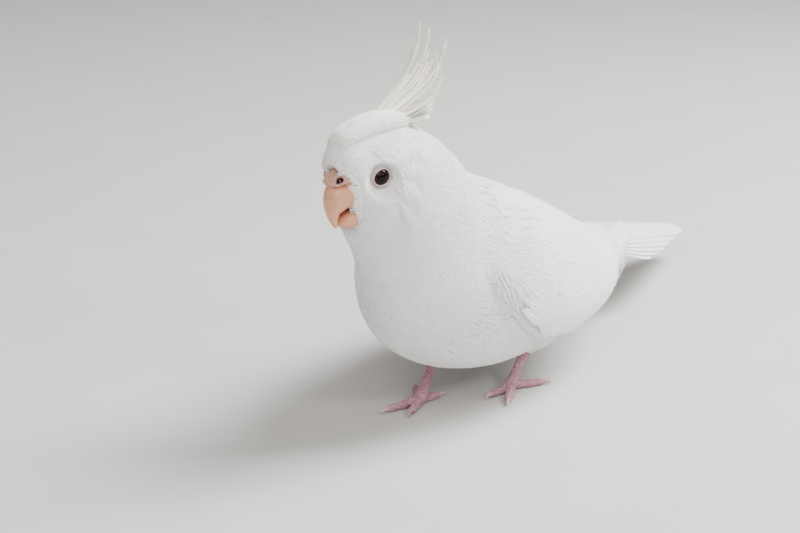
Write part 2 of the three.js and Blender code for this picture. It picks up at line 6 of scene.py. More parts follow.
# %% Load the frame
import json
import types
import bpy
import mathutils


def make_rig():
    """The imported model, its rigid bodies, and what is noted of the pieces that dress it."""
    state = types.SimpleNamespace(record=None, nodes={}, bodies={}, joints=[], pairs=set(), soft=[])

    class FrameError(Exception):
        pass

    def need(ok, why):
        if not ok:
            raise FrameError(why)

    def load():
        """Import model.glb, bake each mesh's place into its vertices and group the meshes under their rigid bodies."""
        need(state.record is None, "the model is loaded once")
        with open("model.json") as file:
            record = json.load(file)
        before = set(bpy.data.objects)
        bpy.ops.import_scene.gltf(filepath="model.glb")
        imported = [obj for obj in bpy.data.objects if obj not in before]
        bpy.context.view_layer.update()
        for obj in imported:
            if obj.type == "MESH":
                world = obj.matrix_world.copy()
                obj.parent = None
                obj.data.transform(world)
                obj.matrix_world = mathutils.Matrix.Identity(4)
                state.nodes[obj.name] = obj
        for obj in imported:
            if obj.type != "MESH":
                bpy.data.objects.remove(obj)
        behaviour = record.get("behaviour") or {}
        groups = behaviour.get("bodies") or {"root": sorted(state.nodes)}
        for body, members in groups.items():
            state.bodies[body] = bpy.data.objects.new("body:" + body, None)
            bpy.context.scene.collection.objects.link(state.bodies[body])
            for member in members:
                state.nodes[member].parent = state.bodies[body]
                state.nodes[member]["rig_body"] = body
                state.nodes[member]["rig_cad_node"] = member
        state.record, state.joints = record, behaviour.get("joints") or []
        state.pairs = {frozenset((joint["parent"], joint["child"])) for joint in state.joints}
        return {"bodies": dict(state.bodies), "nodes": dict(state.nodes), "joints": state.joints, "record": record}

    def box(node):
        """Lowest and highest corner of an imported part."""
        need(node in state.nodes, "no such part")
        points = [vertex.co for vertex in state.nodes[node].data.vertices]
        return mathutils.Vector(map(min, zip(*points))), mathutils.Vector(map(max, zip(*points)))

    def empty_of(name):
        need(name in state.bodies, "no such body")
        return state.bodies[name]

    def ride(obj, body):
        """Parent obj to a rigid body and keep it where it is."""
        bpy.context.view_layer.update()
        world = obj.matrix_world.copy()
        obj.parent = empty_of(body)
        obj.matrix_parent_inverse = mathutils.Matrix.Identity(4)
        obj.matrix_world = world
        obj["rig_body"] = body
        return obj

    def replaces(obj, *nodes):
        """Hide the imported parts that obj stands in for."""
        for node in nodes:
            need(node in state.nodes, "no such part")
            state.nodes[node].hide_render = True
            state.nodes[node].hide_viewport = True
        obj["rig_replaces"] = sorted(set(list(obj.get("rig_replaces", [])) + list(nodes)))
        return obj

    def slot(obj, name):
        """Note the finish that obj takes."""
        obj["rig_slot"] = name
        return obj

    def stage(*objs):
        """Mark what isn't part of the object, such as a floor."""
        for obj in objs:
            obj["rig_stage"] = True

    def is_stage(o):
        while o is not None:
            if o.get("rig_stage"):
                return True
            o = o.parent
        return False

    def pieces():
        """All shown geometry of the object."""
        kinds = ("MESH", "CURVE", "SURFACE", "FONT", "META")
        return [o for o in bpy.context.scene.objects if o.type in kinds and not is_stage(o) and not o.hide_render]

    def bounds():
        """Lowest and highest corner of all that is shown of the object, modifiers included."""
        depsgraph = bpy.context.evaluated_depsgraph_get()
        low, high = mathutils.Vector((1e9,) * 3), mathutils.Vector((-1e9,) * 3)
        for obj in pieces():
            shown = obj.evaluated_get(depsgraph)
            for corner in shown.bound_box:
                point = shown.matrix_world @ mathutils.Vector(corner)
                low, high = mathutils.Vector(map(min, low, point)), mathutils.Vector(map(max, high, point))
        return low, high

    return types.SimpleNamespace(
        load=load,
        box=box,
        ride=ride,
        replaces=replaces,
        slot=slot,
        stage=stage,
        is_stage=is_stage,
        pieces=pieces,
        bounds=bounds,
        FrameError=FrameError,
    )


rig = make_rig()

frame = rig.load()
import json
import math
import bpy
import numpy as np
from mathutils import Matrix, Vector

cad_box = [list(corner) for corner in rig.bounds()]
rng = np.random.default_rng(7)
MM = 0.001

# %% [markdown]
# The bird was laid out in millimetres with its body facing -X and its left side to -Y.
# The head is turned to the bird's right about the upright line through its middle.
# Every shape below is worked out in that layout, then moved by one fixed step so that
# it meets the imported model. The left eye gives that step.

# %% Layout of the bird
HEAD = np.array([-62, 4, 106.7])  # the point midway between the eyes
HEAD_TURN = math.radians(20)
EYE_RADIUS = 3.7
EYE_DEPTH = 8.6
EYE_SWING = math.radians(14)
UP = np.array([0.0, 0.0, 1.0])


def turned(points, angle):
    """Points turned about the upright axis by an angle in radians, which may be an array."""
    points = np.asarray(points, float)
    c, s = np.cos(angle), np.sin(angle)
    x, y = points[..., 0], points[..., 1]
    return np.stack([x * c - y * s, x * s + y * c, points[..., 2] + 0 * x * c], -1)


def in_head(forward, left, above):
    """A point of the head's own frame: forward of the eyes, to its left, and above them."""
    local = np.stack(np.broadcast_arrays(-np.asarray(forward, float), -np.asarray(left, float),
                                         np.asarray(above, float)), -1)
    return turned(local, -HEAD_TURN) + HEAD


low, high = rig.box("eye_left")
STEP = (np.array(low) + np.array(high)) / 2 / MM - in_head(0.4, EYE_DEPTH, 0)
print("layout is moved by", STEP.round(2), "mm")

# %% [markdown]
# A body is easiest to describe by sections, as a boat is. Each column below is one
# section: its top and bottom in the middle plane, its half width, and the level of its
# widest line. A Catmull-Rom curve runs smoothly through the columns.

# %% Sections of the body and of the folded wings
BODY = dict(
    topX=[-72.4, -77.8, -74.6, -64, -50, -36, -23, -10, 7, 28, 50, 70, 85, 97],
    topZ=[109.2, 112.8, 119.0, 122.8, 122.6, 118, 109.5, 98.5, 91.5, 83.5, 73, 62.5, 54, 47],
    bottomX=[-68.3, -68.8, -68.2, -66.8, -64, -60.5, -56, -49, -38, -17, 12, 40, 66, 90],
    bottomZ=[88.5, 86.5, 84.5, 80, 74, 65.5, 55, 42.5, 30.5, 19.5, 12, 12.5, 21, 36],
    half=[5.2, 7.4, 10.6, 13.2, 15.4, 17.8, 21.6, 26.5, 30.8, 34, 34, 30.5, 22, 10.5],
    level=[0.5, 0.5, 0.5, 0.5, 0.5, 0.48, 0.47, 0.46, 0.46, 0.47, 0.48, 0.5, 0.5, 0.5],
    turn=[1, 1, 1, 1, 0.9, 0.68, 0.4, 0.15, 0, 0, 0, 0, 0, 0],
)
WING = dict(
    topX=[-10, 10, 34, 58, 82, 108, 132, 157],
    topZ=[99.5, 91, 80, 67.5, 56, 49.5, 45.5, 42],
    bottomX=[-50, -28, 2, 34, 62, 94, 124, 155],
    bottomZ=[48, 27, 13, 12, 17, 26, 34, 38],
    half=[27, 34, 38, 38.5, 35, 27, 17, 5],
    level=[0.46, 0.46, 0.47, 0.48, 0.5, 0.5, 0.5, 0.5],
    turn=[0, 0, 0, 0, 0, 0, 0, 0],
)
WING_TOP = [44, 30, 22, 20, 20, 22, 30, 50]
WING_LOW = [94, 106, 116, 113, 104, 99, 102, 118]
BODY_END = 13
WING_END = 7


def between(values, place):
    """Catmull-Rom: p + t/2 (q-o + t (2o-5p+4q-r + t (3p-o-3q+r))), o p q r being neighbours."""
    v = np.asarray(values, float)
    v = np.concatenate([[2 * v[0] - v[1]], v, [2 * v[-1] - v[-2]]])
    place = np.clip(np.asarray(place, float), 0, len(v) - 3)
    i = np.minimum(place.astype(int), len(v) - 4)
    t = place - i
    o, p, q, r = v[i], v[i + 1], v[i + 2], v[i + 3]
    return p + 0.5 * t * (q - o + t * (2 * o - 5 * p + 4 * q - r + t * (3 * p - o - 3 * q + r)))


def on_form(form, place, angle, side=1):
    """centre + side half sin(angle) aside + (rise or fall) cos(angle) up, turned with the head."""
    top_x, top_z = between(form["topX"], place), between(form["topZ"], place)
    low_x, low_z = between(form["bottomX"], place), between(form["bottomZ"], place)
    level, half = between(form["level"], place), between(form["half"], place)
    turn = between(form["turn"], place)
    height = np.hypot(top_x - low_x, top_z - low_z)
    up_x, up_z = (top_x - low_x) / height, (top_z - low_z) / height
    high = np.cos(angle)
    reach = np.where(high > 0, height * (1 - level), height * level) * high
    x = low_x + up_x * height * level + up_x * reach
    z = low_z + up_z * height * level + up_z * reach
    y = side * half * np.sin(angle)
    points = turned(np.stack([x - HEAD[0], y, z], -1), -HEAD_TURN * turn)
    points[..., 0] += HEAD[0]
    points[..., 1] += HEAD[1] * turn
    return points


def unit(vectors):
    """Vectors divided by their own length."""
    return vectors / np.maximum(np.linalg.norm(vectors, axis=-1, keepdims=True), 1e-9)


def frame_of(surface, a, b, step=0.02):
    """Unit directions along a and outwards from a surface point, by small differences."""
    along = surface(a + step, b) - surface(a - step, b)
    across = surface(a, b + step) - surface(a, b - step)
    return unit(along), unit(np.cross(along, across))


def body(place, angle):
    return on_form(BODY, place, angle)


def wing_envelope(side):
    """The surface a folded wing lies on: along from the bend to the tip, down across it."""
    def surface(along, down):
        place = np.clip(along, 0, 1) * WING_END
        top, bottom = between(WING_TOP, place), between(WING_LOW, place)
        angle = np.radians(top + (bottom - top) * down)
        return on_form(WING, place, angle, side)
    return surface


# %% [markdown]
# Each piece is one mesh written straight from arrays. Its faces are quads and triangles
# in a list of corner numbers, and every map of the surface is stored corner by corner.

# %% Mesh from arrays
made = {}


def piece(name, points, faces, maps=None, smooth=True, slot=None, stands_for=()):
    """One mesh object from points in layout millimetres and a list of face arrays."""
    corners = np.concatenate([f.ravel() for f in faces]).astype(np.int32)
    sizes = np.concatenate([np.full(len(f), f.shape[1]) for f in faces]).astype(np.int32)
    mesh = bpy.data.meshes.new(name)
    mesh.vertices.add(len(points))
    mesh.vertices.foreach_set("co", ((points + STEP) * MM).astype(np.float32).ravel())
    mesh.loops.add(len(corners))
    mesh.loops.foreach_set("vertex_index", corners)
    mesh.polygons.add(len(sizes))
    mesh.polygons.foreach_set("loop_start", np.cumsum(sizes) - sizes)
    mesh.polygons.foreach_set("loop_total", sizes)
    for key, values in (maps or {}).items():
        layer = mesh.uv_layers.new(name=key)
        layer.data.foreach_set("uv", values[corners].astype(np.float32).ravel())
    mesh.update(calc_edges=True)
    mesh.polygons.foreach_set("use_smooth", np.full(len(sizes), smooth))
    obj = bpy.data.objects.new(name, mesh)
    bpy.context.scene.collection.objects.link(obj)
    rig.ride(obj, "root")
    if slot:
        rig.slot(obj, slot)
    if stands_for:
        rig.replaces(obj, *stands_for)
    made[name] = int((sizes - 2).sum())
    return obj


def grid_faces(rows, columns, wrap=False):
    """Quads of a grid of points numbered row by row; wrap joins the last column to the first."""
    r = np.arange(rows - 1)[:, None]
    c = np.arange(columns if wrap else columns - 1)[None, :]
    n = (c + 1) % columns
    return np.stack([r * columns + c, r * columns + n, (r + 1) * columns + n,
                     (r + 1) * columns + c], -1).reshape(-1, 4)


def tube(rings, close=True):
    """A closed skin over rings (rows, columns, 3), its two ends closed by fans."""
    rows, columns = rings.shape[:2]
    points = rings.reshape(-1, 3)
    faces = [grid_faces(rows, columns, wrap=True)]
    if close:
        ends = np.array([rings[0].mean(0), rings[-1].mean(0)])
        k = len(points)
        points = np.concatenate([points, ends])
        c = np.arange(columns)
        n = (c + 1) % columns
        last = (rows - 1) * columns
        faces += [np.stack([n, c, np.full(columns, k)], -1),
                  np.stack([last + c, last + n, np.full(columns, k + 1)], -1)]
    return points, faces


def merged(parts):
    """Several (points, faces, maps) joined into one."""
    points, faces, start = [], [], 0
    keys = parts[0][2].keys() if len(parts[0]) > 2 and parts[0][2] else []
    maps = {key: np.concatenate([p[2][key] for p in parts]) for key in keys}
    for part in parts:
        points.append(part[0])
        faces += [f + start for f in part[1]]
        start += len(part[0])
    return np.concatenate(points), faces, maps


def outward(obj):
    """Turns the faces of a closed piece outwards."""
    bpy.ops.object.select_all(action="DESELECT")
    obj.select_set(True)
    bpy.context.view_layer.objects.active = obj
    bpy.ops.object.mode_set(mode="EDIT")
    bpy.ops.mesh.select_all(action="SELECT")
    bpy.ops.mesh.normals_make_consistent(inside=False)
    bpy.ops.object.mode_set(mode="OBJECT")
    return obj


def finished(name, points, faces, maps, slot, stands_for, *paints):
    """A closed piece with its faces turned outwards and its materials."""
    obj = outward(piece(name, points, faces, maps, slot=slot, stands_for=stands_for))
    for paint in paints:
        obj.data.materials.append(paint)
    return obj


# %% [markdown]
# Small feathers are drawn as blades: thin wedges with a ridge, broad in the middle and
# pointed at the tip. A blade is a spine of points with a width at each, so thousands of
# them are only arrays. Their spines follow the skin, which keeps them lying flat.

# %% Blades
def blades(spine, normal, width, thick=0.08):
    """Closed wedges. spine and normal are (n, s, 3), width is (n, s); the section at each
    spine point is left edge, right edge and a ridge raised by thick times the width."""
    n, s = width.shape
    ahead = np.gradient(spine, axis=1)
    aside = unit(np.cross(normal, ahead))
    w = width[..., None] / 2
    ring = np.stack([spine - aside * w, spine + aside * w,
                     spine + normal * (w * 2 * thick + 0.02)], 2)
    points = ring.reshape(-1, 3)
    start = np.arange(n)[:, None, None] * s * 3
    r = np.arange(s - 1)[None, :, None] * 3
    c = np.arange(3)[None, None, :]
    d = (c + 1) % 3
    quads = np.stack([start + r + d, start + r + 3 + d, start + r + 3 + c, start + r + c], -1)
    first = np.arange(n)[:, None] * s * 3
    base = first + np.array([[0, 2, 1]])
    tip = first + (s - 1) * 3 + np.array([[0, 1, 2]])
    return points, [quads.reshape(-1, 4), base, tip]


def bake_map(place, spine_count, spread=0.003):
    """Each blade as a patch of about spread across, at its root's place on the skin's unwrap."""
    n, s = len(place), spine_count
    v = np.linspace(-0.5, 0.5, s)[None, :, None] * np.ones((n, 1, 3))
    u = np.array([-0.5, 0.5, 0.0])[None, None, :] * np.ones((n, s, 1))
    patch = np.stack([u, v], -1) * spread
    return (place[:, None, None, :] * 0.98 + 0.01 + patch).reshape(-1, 2)


# %% [markdown]
# White plumage is never one white: light soaks into it, and fine down, dust and shade give
# warm and cool whites. One shared group makes that colour for skin, coat and vanes alike,
# and a second draws the fine slanting barbs of a vane from its own map, as relief and as
# painted shade in the grooves between them.

# %% Shared material groups
def node(tree, kind, inputs=None, **settings):
    """Adds a node, sets its options, and links or sets its inputs."""
    made_node = tree.nodes.new(kind)
    for key, value in settings.items():
        setattr(made_node, key, value)
    for key, value in (inputs or {}).items():
        if isinstance(value, bpy.types.NodeSocket):
            tree.links.new(value, made_node.inputs[key])
        else:
            made_node.inputs[key].default_value = value
    return made_node


def group(name, inputs, outputs):
    """A node group with named sockets; gives the tree and its input and output nodes."""
    tree = bpy.data.node_groups.new(name, "ShaderNodeTree")
    for label, kind, default in inputs:
        socket = tree.interface.new_socket(label, in_out="INPUT", socket_type=kind)
        socket.default_value = default
    for label, kind in outputs:
        tree.interface.new_socket(label, in_out="OUTPUT", socket_type=kind)
    return tree, tree.nodes.new("NodeGroupInput"), tree.nodes.new("NodeGroupOutput")


def maths(tree, operation, a, b=0.0, clamp=False):
    return node(tree, "ShaderNodeMath", {0: a, 1: b}, operation=operation,
                use_clamp=clamp).outputs[0]


COLOR, VALUE = "NodeSocketColor", "NodeSocketFloat"
tint, tint_in, tint_out = group(
    "Plumage tint",
    [("Light", COLOR, (1, 1, 1, 1)), ("Shade", COLOR, (0.8, 0.8, 0.8, 1))],
    [("Color", COLOR)])
where = node(tint, "ShaderNodeTexCoord").outputs["Object"]
broad = node(tint, "ShaderNodeTexNoise", {"Vector": where, "Scale": 34.0, "Detail": 2.0})
fine = node(tint, "ShaderNodeTexNoise", {"Vector": where, "Scale": 520.0, "Detail": 3.0})
both = maths(tint, "ADD", maths(tint, "MULTIPLY", broad.outputs[0], 0.55),
             maths(tint, "MULTIPLY", fine.outputs[0], 0.45))
level = node(tint, "ShaderNodeMapRange", {0: both, 1: 0.36, 2: 0.6}).outputs[0]
blend = node(tint, "ShaderNodeMix", {0: level, 6: tint_in.outputs["Shade"],
                                     7: tint_in.outputs["Light"]}, data_type="RGBA")
tint.links.new(blend.outputs[2], tint_out.inputs["Color"])

barbs, barbs_in, barbs_out = group(
    "Barb lines", [("Spacing", VALUE, 9.0)], [("Height", VALUE), ("Mark", VALUE)])
vane_map = node(barbs, "ShaderNodeUVMap", uv_map="Vane").outputs[0]
split = node(barbs, "ShaderNodeSeparateXYZ", {0: vane_map})
off_middle = maths(barbs, "ABSOLUTE", maths(barbs, "SUBTRACT", split.outputs[0], 0.5))
slant = maths(barbs, "SUBTRACT", split.outputs[1], maths(barbs, "MULTIPLY", off_middle, 0.55))
ripple = node(barbs, "ShaderNodeTexNoise", {"Vector": vane_map, "Scale": 7.0, "Detail": 2.0})
phase = maths(barbs, "ADD", maths(barbs, "MULTIPLY", slant, barbs_in.outputs["Spacing"]),
              maths(barbs, "MULTIPLY", ripple.outputs[0], 1.2))
lines = maths(barbs, "SINE", maths(barbs, "MULTIPLY", phase, 6.283))
quill = maths(barbs, "SUBTRACT", 1.0, maths(barbs, "MULTIPLY", off_middle, 26.0), clamp=True)
height = maths(barbs, "ADD", maths(barbs, "MULTIPLY", lines, 0.5), quill)
barbs.links.new(height, barbs_out.inputs["Height"])
# Painted shade between the barbs: the colour is darker where the lines are low.
painted_barb_shade = maths(barbs, "ADD", maths(barbs, "MULTIPLY", lines, 0.25), 0.5, clamp=True)
barbs.links.new(painted_barb_shade, barbs_out.inputs["Mark"])

scales, scales_in, scales_out = group(
    "Scaly skin", [("Scale", VALUE, 700.0)], [("Height", VALUE), ("Mask", VALUE)])
skin_at = node(scales, "ShaderNodeTexCoord").outputs["Object"]
cells = node(scales, "ShaderNodeTexVoronoi", {"Vector": skin_at, "Scale": scales_in.outputs[0]},
             feature="DISTANCE_TO_EDGE")
plates = node(scales, "ShaderNodeMapRange", {0: cells.outputs["Distance"], 1: 0.0, 2: 0.22})
wrinkle = node(scales, "ShaderNodeTexNoise", {"Vector": skin_at, "Scale": 1500.0, "Detail": 3.0})
scales.links.new(maths(scales, "ADD", plates.outputs[0],
                       maths(scales, "MULTIPLY", wrinkle.outputs[0], 0.5)),
                 scales_out.inputs["Height"])
# The plates' edges, low in the relief, also carry painted shade in the skin's colour.
scales.links.new(plates.outputs[0], scales_out.inputs["Mask"])


# %% [markdown]
# Each material is a Principled shader with its fixed finish typed on it, and one of the
# groups above for colour and relief.

# %% Materials
def new_material(name, roughness):
    """An opaque material, its node tree and its shader."""
    made_material = bpy.data.materials.new(name)
    made_material.use_nodes = True
    tree = made_material.node_tree
    shader = tree.nodes["Principled BSDF"]
    shader.inputs["Roughness"].default_value = roughness
    return made_material, tree, shader


def map_across(tree, uv_map):
    """The first number of a piece's own map, for a shader."""
    chart = node(tree, "ShaderNodeUVMap", uv_map=uv_map).outputs[0]
    return node(tree, "ShaderNodeSeparateXYZ", {0: chart}).outputs[0]


def material(name, light, shade, roughness, relief=None, relief_scale=9.0, strength=0.3,
             distance=0.0002, **fixed):
    """Tinted base colour, painted darker as shade where the relief is low, with the relief as bump."""
    made_material, tree, shader = new_material(name, roughness)
    for key, value in fixed.items():
        shader.inputs[key.replace("_", " ")].default_value = value
    colour = node(tree, "ShaderNodeGroup", node_tree=tint)
    colour.inputs["Light"].default_value = (*light, 1)
    colour.inputs["Shade"].default_value = (*shade, 1)
    out = colour.outputs["Color"]
    if relief:
        relief_and_painted_shade = node(tree, "ShaderNodeGroup", node_tree=relief)
        relief_and_painted_shade.inputs[0].default_value = relief_scale
        # Painted shade: the colour is darkened in the relief's low grooves, between barbs and between skin plates.
        low = [c * 0.8 for c in shade]
        out = node(tree, "ShaderNodeMix", {0: relief_and_painted_shade.outputs[1], 6: (*low, 1), 7: out},
                   data_type="RGBA").outputs[2]
        bump = node(tree, "ShaderNodeBump", {"Strength": strength, "Distance": distance,
                                             "Height": relief_and_painted_shade.outputs["Height"]})
        tree.links.new(bump.outputs[0], shader.inputs["Normal"])
    tree.links.new(out, shader.inputs["Base Color"])
    return made_material


WHITE, COOL = (0.90, 0.885, 0.865), (0.80, 0.785, 0.775)
plumage = material("plumage", WHITE, COOL, 0.85, Sheen_Weight=0.15, Subsurface_Weight=0.12,
                   Subsurface_Scale=0.002)
vanes = material("vanes", WHITE, (0.83, 0.815, 0.80), 0.7, barbs, 11.0, 0.25, 0.00015,
                 Sheen_Weight=0.1)
cream = material("crest_plumes", (0.93, 0.90, 0.81), (0.85, 0.81, 0.70), 0.75,
                 Sheen_Weight=0.15)
crown = material("crown", (0.91, 0.89, 0.845), (0.83, 0.805, 0.755), 0.85, Sheen_Weight=0.15,
                 Subsurface_Weight=0.12, Subsurface_Scale=0.002)
horn = material("horn", (0.66, 0.325, 0.18), (0.53, 0.235, 0.13), 0.38, Coat_Weight=0.2)
claw_horn = material("claw_horn", (0.55, 0.40, 0.36), (0.34, 0.22, 0.21), 0.42)
cere_skin = material("cere_skin", (0.70, 0.40, 0.31), (0.55, 0.29, 0.23), 0.55, scales, 1500.0,
                     0.35, 0.00015, Specular_IOR_Level=0.25)
leg_skin = material("leg_skin", (0.60, 0.34, 0.39), (0.42, 0.20, 0.26), 0.55, scales, 800.0,
                    0.6, 0.0003)
lid_skin = material("lid_skin", (0.66, 0.50, 0.48), (0.45, 0.33, 0.33), 0.6, scales, 1500.0,
                    0.5, 0.0002)
tree = lid_skin.node_tree
# Across the lids the ramp gives the skin's mauve-grey folds and pale rim, and painted shade: its darkest stop lies in
# the groove between the two folds.
folds = node(tree, "ShaderNodeValToRGB", {0: map_across(tree, "Fold")})
stops = [(0.10, (0.30, 0.20, 0.20)), (0.26, (0.74, 0.65, 0.64)), (0.36, (0.60, 0.50, 0.49)),
         (0.45, (0.26, 0.17, 0.18)), (0.56, (0.42, 0.33, 0.34)), (0.66, (0.50, 0.41, 0.42)),
         (0.78, (0.42, 0.34, 0.36)), (0.90, (0.60, 0.54, 0.55))]
for place, colour in stops[2:]:
    folds.color_ramp.elements.new(place)
for element, (place, colour) in zip(folds.color_ramp.elements, stops):
    element.position, element.color = place, (*colour, 1)
tree.links.new(folds.outputs[0], tree.nodes["Principled BSDF"].inputs["Base Color"])
mouth = material("mouth", (0.30, 0.06, 0.07), (0.20, 0.04, 0.05), 0.4)


# %% [markdown]
# Under the feathers is one skin from the forehead to the rump and down both thighs. It is
# the body's own sections drawn in by the depth of the coat, the crown's low pad and the
# thighs, run together by a remesh so that no seam shows. Round each eye it sinks to a
# shallow dish, where the lids stand.

# %% Skin
SIDES = {"left": -1, "right": 1}
EYES = {}
for name, side in SIDES.items():
    facing = np.array([-math.sin(EYE_SWING), side * math.cos(EYE_SWING), 0])
    EYES[name] = (in_head(0.4, -side * EYE_DEPTH, 0), turned(facing, -HEAD_TURN))

DEPTH_AT = [0, 1, 2, 3, 4, 5, 6, 7, 9, 13]
DEPTH = [0.35, 0.4, 0.5, 0.6, 0.8, 1.0, 1.1, 1.2, 1.3, 1.2]


def coat_depth(place):
    return np.interp(place, DEPTH_AT, DEPTH)


def from_sight(points, centre, facing):
    """Height along an eye's line of sight, the offset across it, and that offset's length."""
    offset = points - centre
    high = (offset @ facing)[..., None]
    flat = offset - high * facing
    return high, flat, np.linalg.norm(flat, axis=-1, keepdims=True)


def dished(points, spare=0.0):
    """Points near an eye's line of sight are lowered to 1.3 inside the lids and to
    2.1 + 0.8 (r - 4.5) outside them, r being the distance from that line."""
    points = points.copy()
    for centre, facing in EYES.values():
        high, _, r = from_sight(points, centre, facing)
        limit = np.where(r < 4.3, 1.3, 2.1 + 0.8 * (r - 4.5)) + spare
        fall = np.where((high > 0) & (r < 9), np.minimum(limit - high, 0), 0)
        points += fall * facing
    return points


def head_place(points):
    """Forward, left and above of layout points in the head's own frame."""
    local = turned(points - HEAD, HEAD_TURN)
    return -local[..., 0], -local[..., 1], local[..., 2]


BORDER_ABOVE = [-18, -13.2, -7.6, -6.1, -0.2, 1.6, 3.4]
BORDER_FORWARD = [8.0, 8.4, 9.7, 9.9, 11.8, 13.4, 18]


def window(points):
    """1 in front of the border where the face's feathers end round bill and cere, 0 behind
    it. The border's place forward is read from a curve over the height in the head."""
    forward, _, above = head_place(points)
    return smooth((forward - np.interp(above, BORDER_ABOVE, BORDER_FORWARD) + 0.6) / 1.2)


def smooth(t):
    t = np.clip(t, 0, 1)
    return t * t * (3 - 2 * t)


def drawn_in(points):
    """Flesh at the window is moved towards the head's middle plane by up to half."""
    forward, left, above = head_place(points)
    return in_head(forward, left * (1 - 0.5 * window(points)), above)


def thigh_surface(side, ankle):
    """A limb from hip to ankle: centre line plus a radius that follows the stops below."""
    ankle = np.array(ankle, float)
    hip = ankle + [-3, side * 5, 22]
    shares = [1, 0.7, 0.42, 0.18, 0.02, -0.08]
    radii = [12, 13.2, 12, 8.6, 5.2, 3.4]
    axis = (ankle - hip) / np.linalg.norm(ankle - hip)
    first = np.cross(axis, [0, 1, 0])
    first /= np.linalg.norm(first)
    second = np.cross(axis, first)

    def surface(down, angle):
        centre = ankle + between(shares, down)[..., None] * (hip - ankle)
        r = between(radii, down)[..., None]
        return centre + r * (np.cos(angle)[..., None] * first + np.sin(angle)[..., None] * second)
    return surface


LEGS = {"left": ((22, -14, 0), (34, -14.5, 15)), "right": ((-10, 10, 0), (5, 12, 15))}
THIGHS = {name: thigh_surface(SIDES[name], LEGS[name][1]) for name in LEGS}

CREST_PAD = [((15.0, 9.5), (14.5, 5), 3.0), ((12.2, 14.6), (12, 8), 5.6),
             ((7, 17.4), (6.5, 10), 6.8), ((0, 19.6), (0, 11), 6.9), ((-9, 20.6), (-9, 12), 6.0),
             ((-16, 19.2), (-16, 12), 3.8), ((-21, 16.5), (-21, 13), 1.6)]


def section(sections, place):
    """A loft's section at a place of its table: upper point, lower point and half width."""
    upper, lower = ([between([s[k][i] for s in sections], place) for i in (0, 1)]
                    for k in (0, 1))
    return upper, lower, between([s[2] for s in sections], place)


def on_sections(sections, place, angle, square=0):
    """A point of a loft in the head's frame: middle + reach cos(angle), half sin(angle).
    The upper half (square 1) or the lower half (square -1) may have straighter walls: sine
    and cosine are raised to the power 0.6 there."""
    (upper_f, upper_z), (lower_f, lower_z), half = section(sections, place)
    c, s = np.cos(angle), np.sin(angle)
    straight = c * square > 0
    c, s = (np.where(straight, np.sign(v) * np.abs(v) ** 0.6, v) for v in (c, s))
    forward = (upper_f + lower_f) / 2 + (upper_f - lower_f) / 2 * c
    above = (upper_z + lower_z) / 2 + (upper_z - lower_z) / 2 * c
    return in_head(forward, half * s, above)


def loft(surface, a_range, rows, columns, inward=None):
    """A closed tube of a surface, drawn in along its normal by inward(a)."""
    a, b = np.meshgrid(np.linspace(*a_range, rows), np.linspace(0, 2 * np.pi, columns, False),
                       indexing="ij")
    rings = surface(a, b)
    if inward:
        normal = frame_of(surface, a, b)[1]
        outside = np.sign(((rings - rings.mean(1, keepdims=True)) * normal).sum(-1).mean())
        rings = rings - normal * outside * inward(a)[..., None]
    return tube(rings)


def applied(obj, *modifiers):
    """Runs modifiers given as (type, settings) and keeps their result as the mesh."""
    for kind, settings in modifiers:
        modifier = obj.modifiers.new(kind.lower(), kind)
        for key, value in settings.items():
            setattr(modifier, key, value)
    graph = bpy.context.evaluated_depsgraph_get()
    mesh = bpy.data.meshes.new_from_object(obj.evaluated_get(graph))
    obj.modifiers.clear()
    obj.data = mesh
    return obj


def mesh_arrays(obj):
    """The points in layout millimetres and the faces of an object's mesh, by size."""
    mesh = obj.data
    points = np.empty(len(mesh.vertices) * 3)
    mesh.vertices.foreach_get("co", points)
    corners = np.empty(len(mesh.loops), np.int32)
    mesh.loops.foreach_get("vertex_index", corners)
    sizes = np.empty(len(mesh.polygons), np.int32)
    starts = np.empty(len(mesh.polygons), np.int32)
    mesh.polygons.foreach_get("loop_total", sizes)
    mesh.polygons.foreach_get("loop_start", starts)
    faces = [corners[starts[sizes == k][:, None] + np.arange(k)] for k in np.unique(sizes)]
    return points.reshape(-1, 3) / MM - STEP, faces


rough_parts = [loft(body, (0, BODY_END), 190, 120, coat_depth),
               loft(lambda a, b: on_sections(CREST_PAD, a, b), (0, 6), 30, 24,
                    lambda a: 0.5 + 0 * a)]
for name in SIDES:
    rough_parts.append(loft(THIGHS[name], (0, 5), 40, 60, lambda a: 1.0 + 0 * a))
points, faces, _ = merged(rough_parts)
rough = outward(piece("rough_skin", points, faces))
applied(rough, ("REMESH", dict(mode="VOXEL", voxel_size=0.9 * MM)),
        ("SMOOTH", dict(factor=0.6, iterations=10)))
skin_points, skin_faces = mesh_arrays(rough)
bpy.data.objects.remove(rough)
near = skin_points[:, 0] < -55
skin_points[near] = drawn_in(skin_points[near])
skin_points = dished(skin_points, -0.5)

LID_PROFILE = [(-0.25, -1.6), (-0.1, 0.0), (0.0, 0.2), (0.13, 0.3), (0.28, 0.24), (0.42, 0.02),
               (0.6, 0.10), (0.82, 0.2), (1.08, 0.05), (1.35, -0.4), (1.6, -0.9), (1.7, -2.0)]


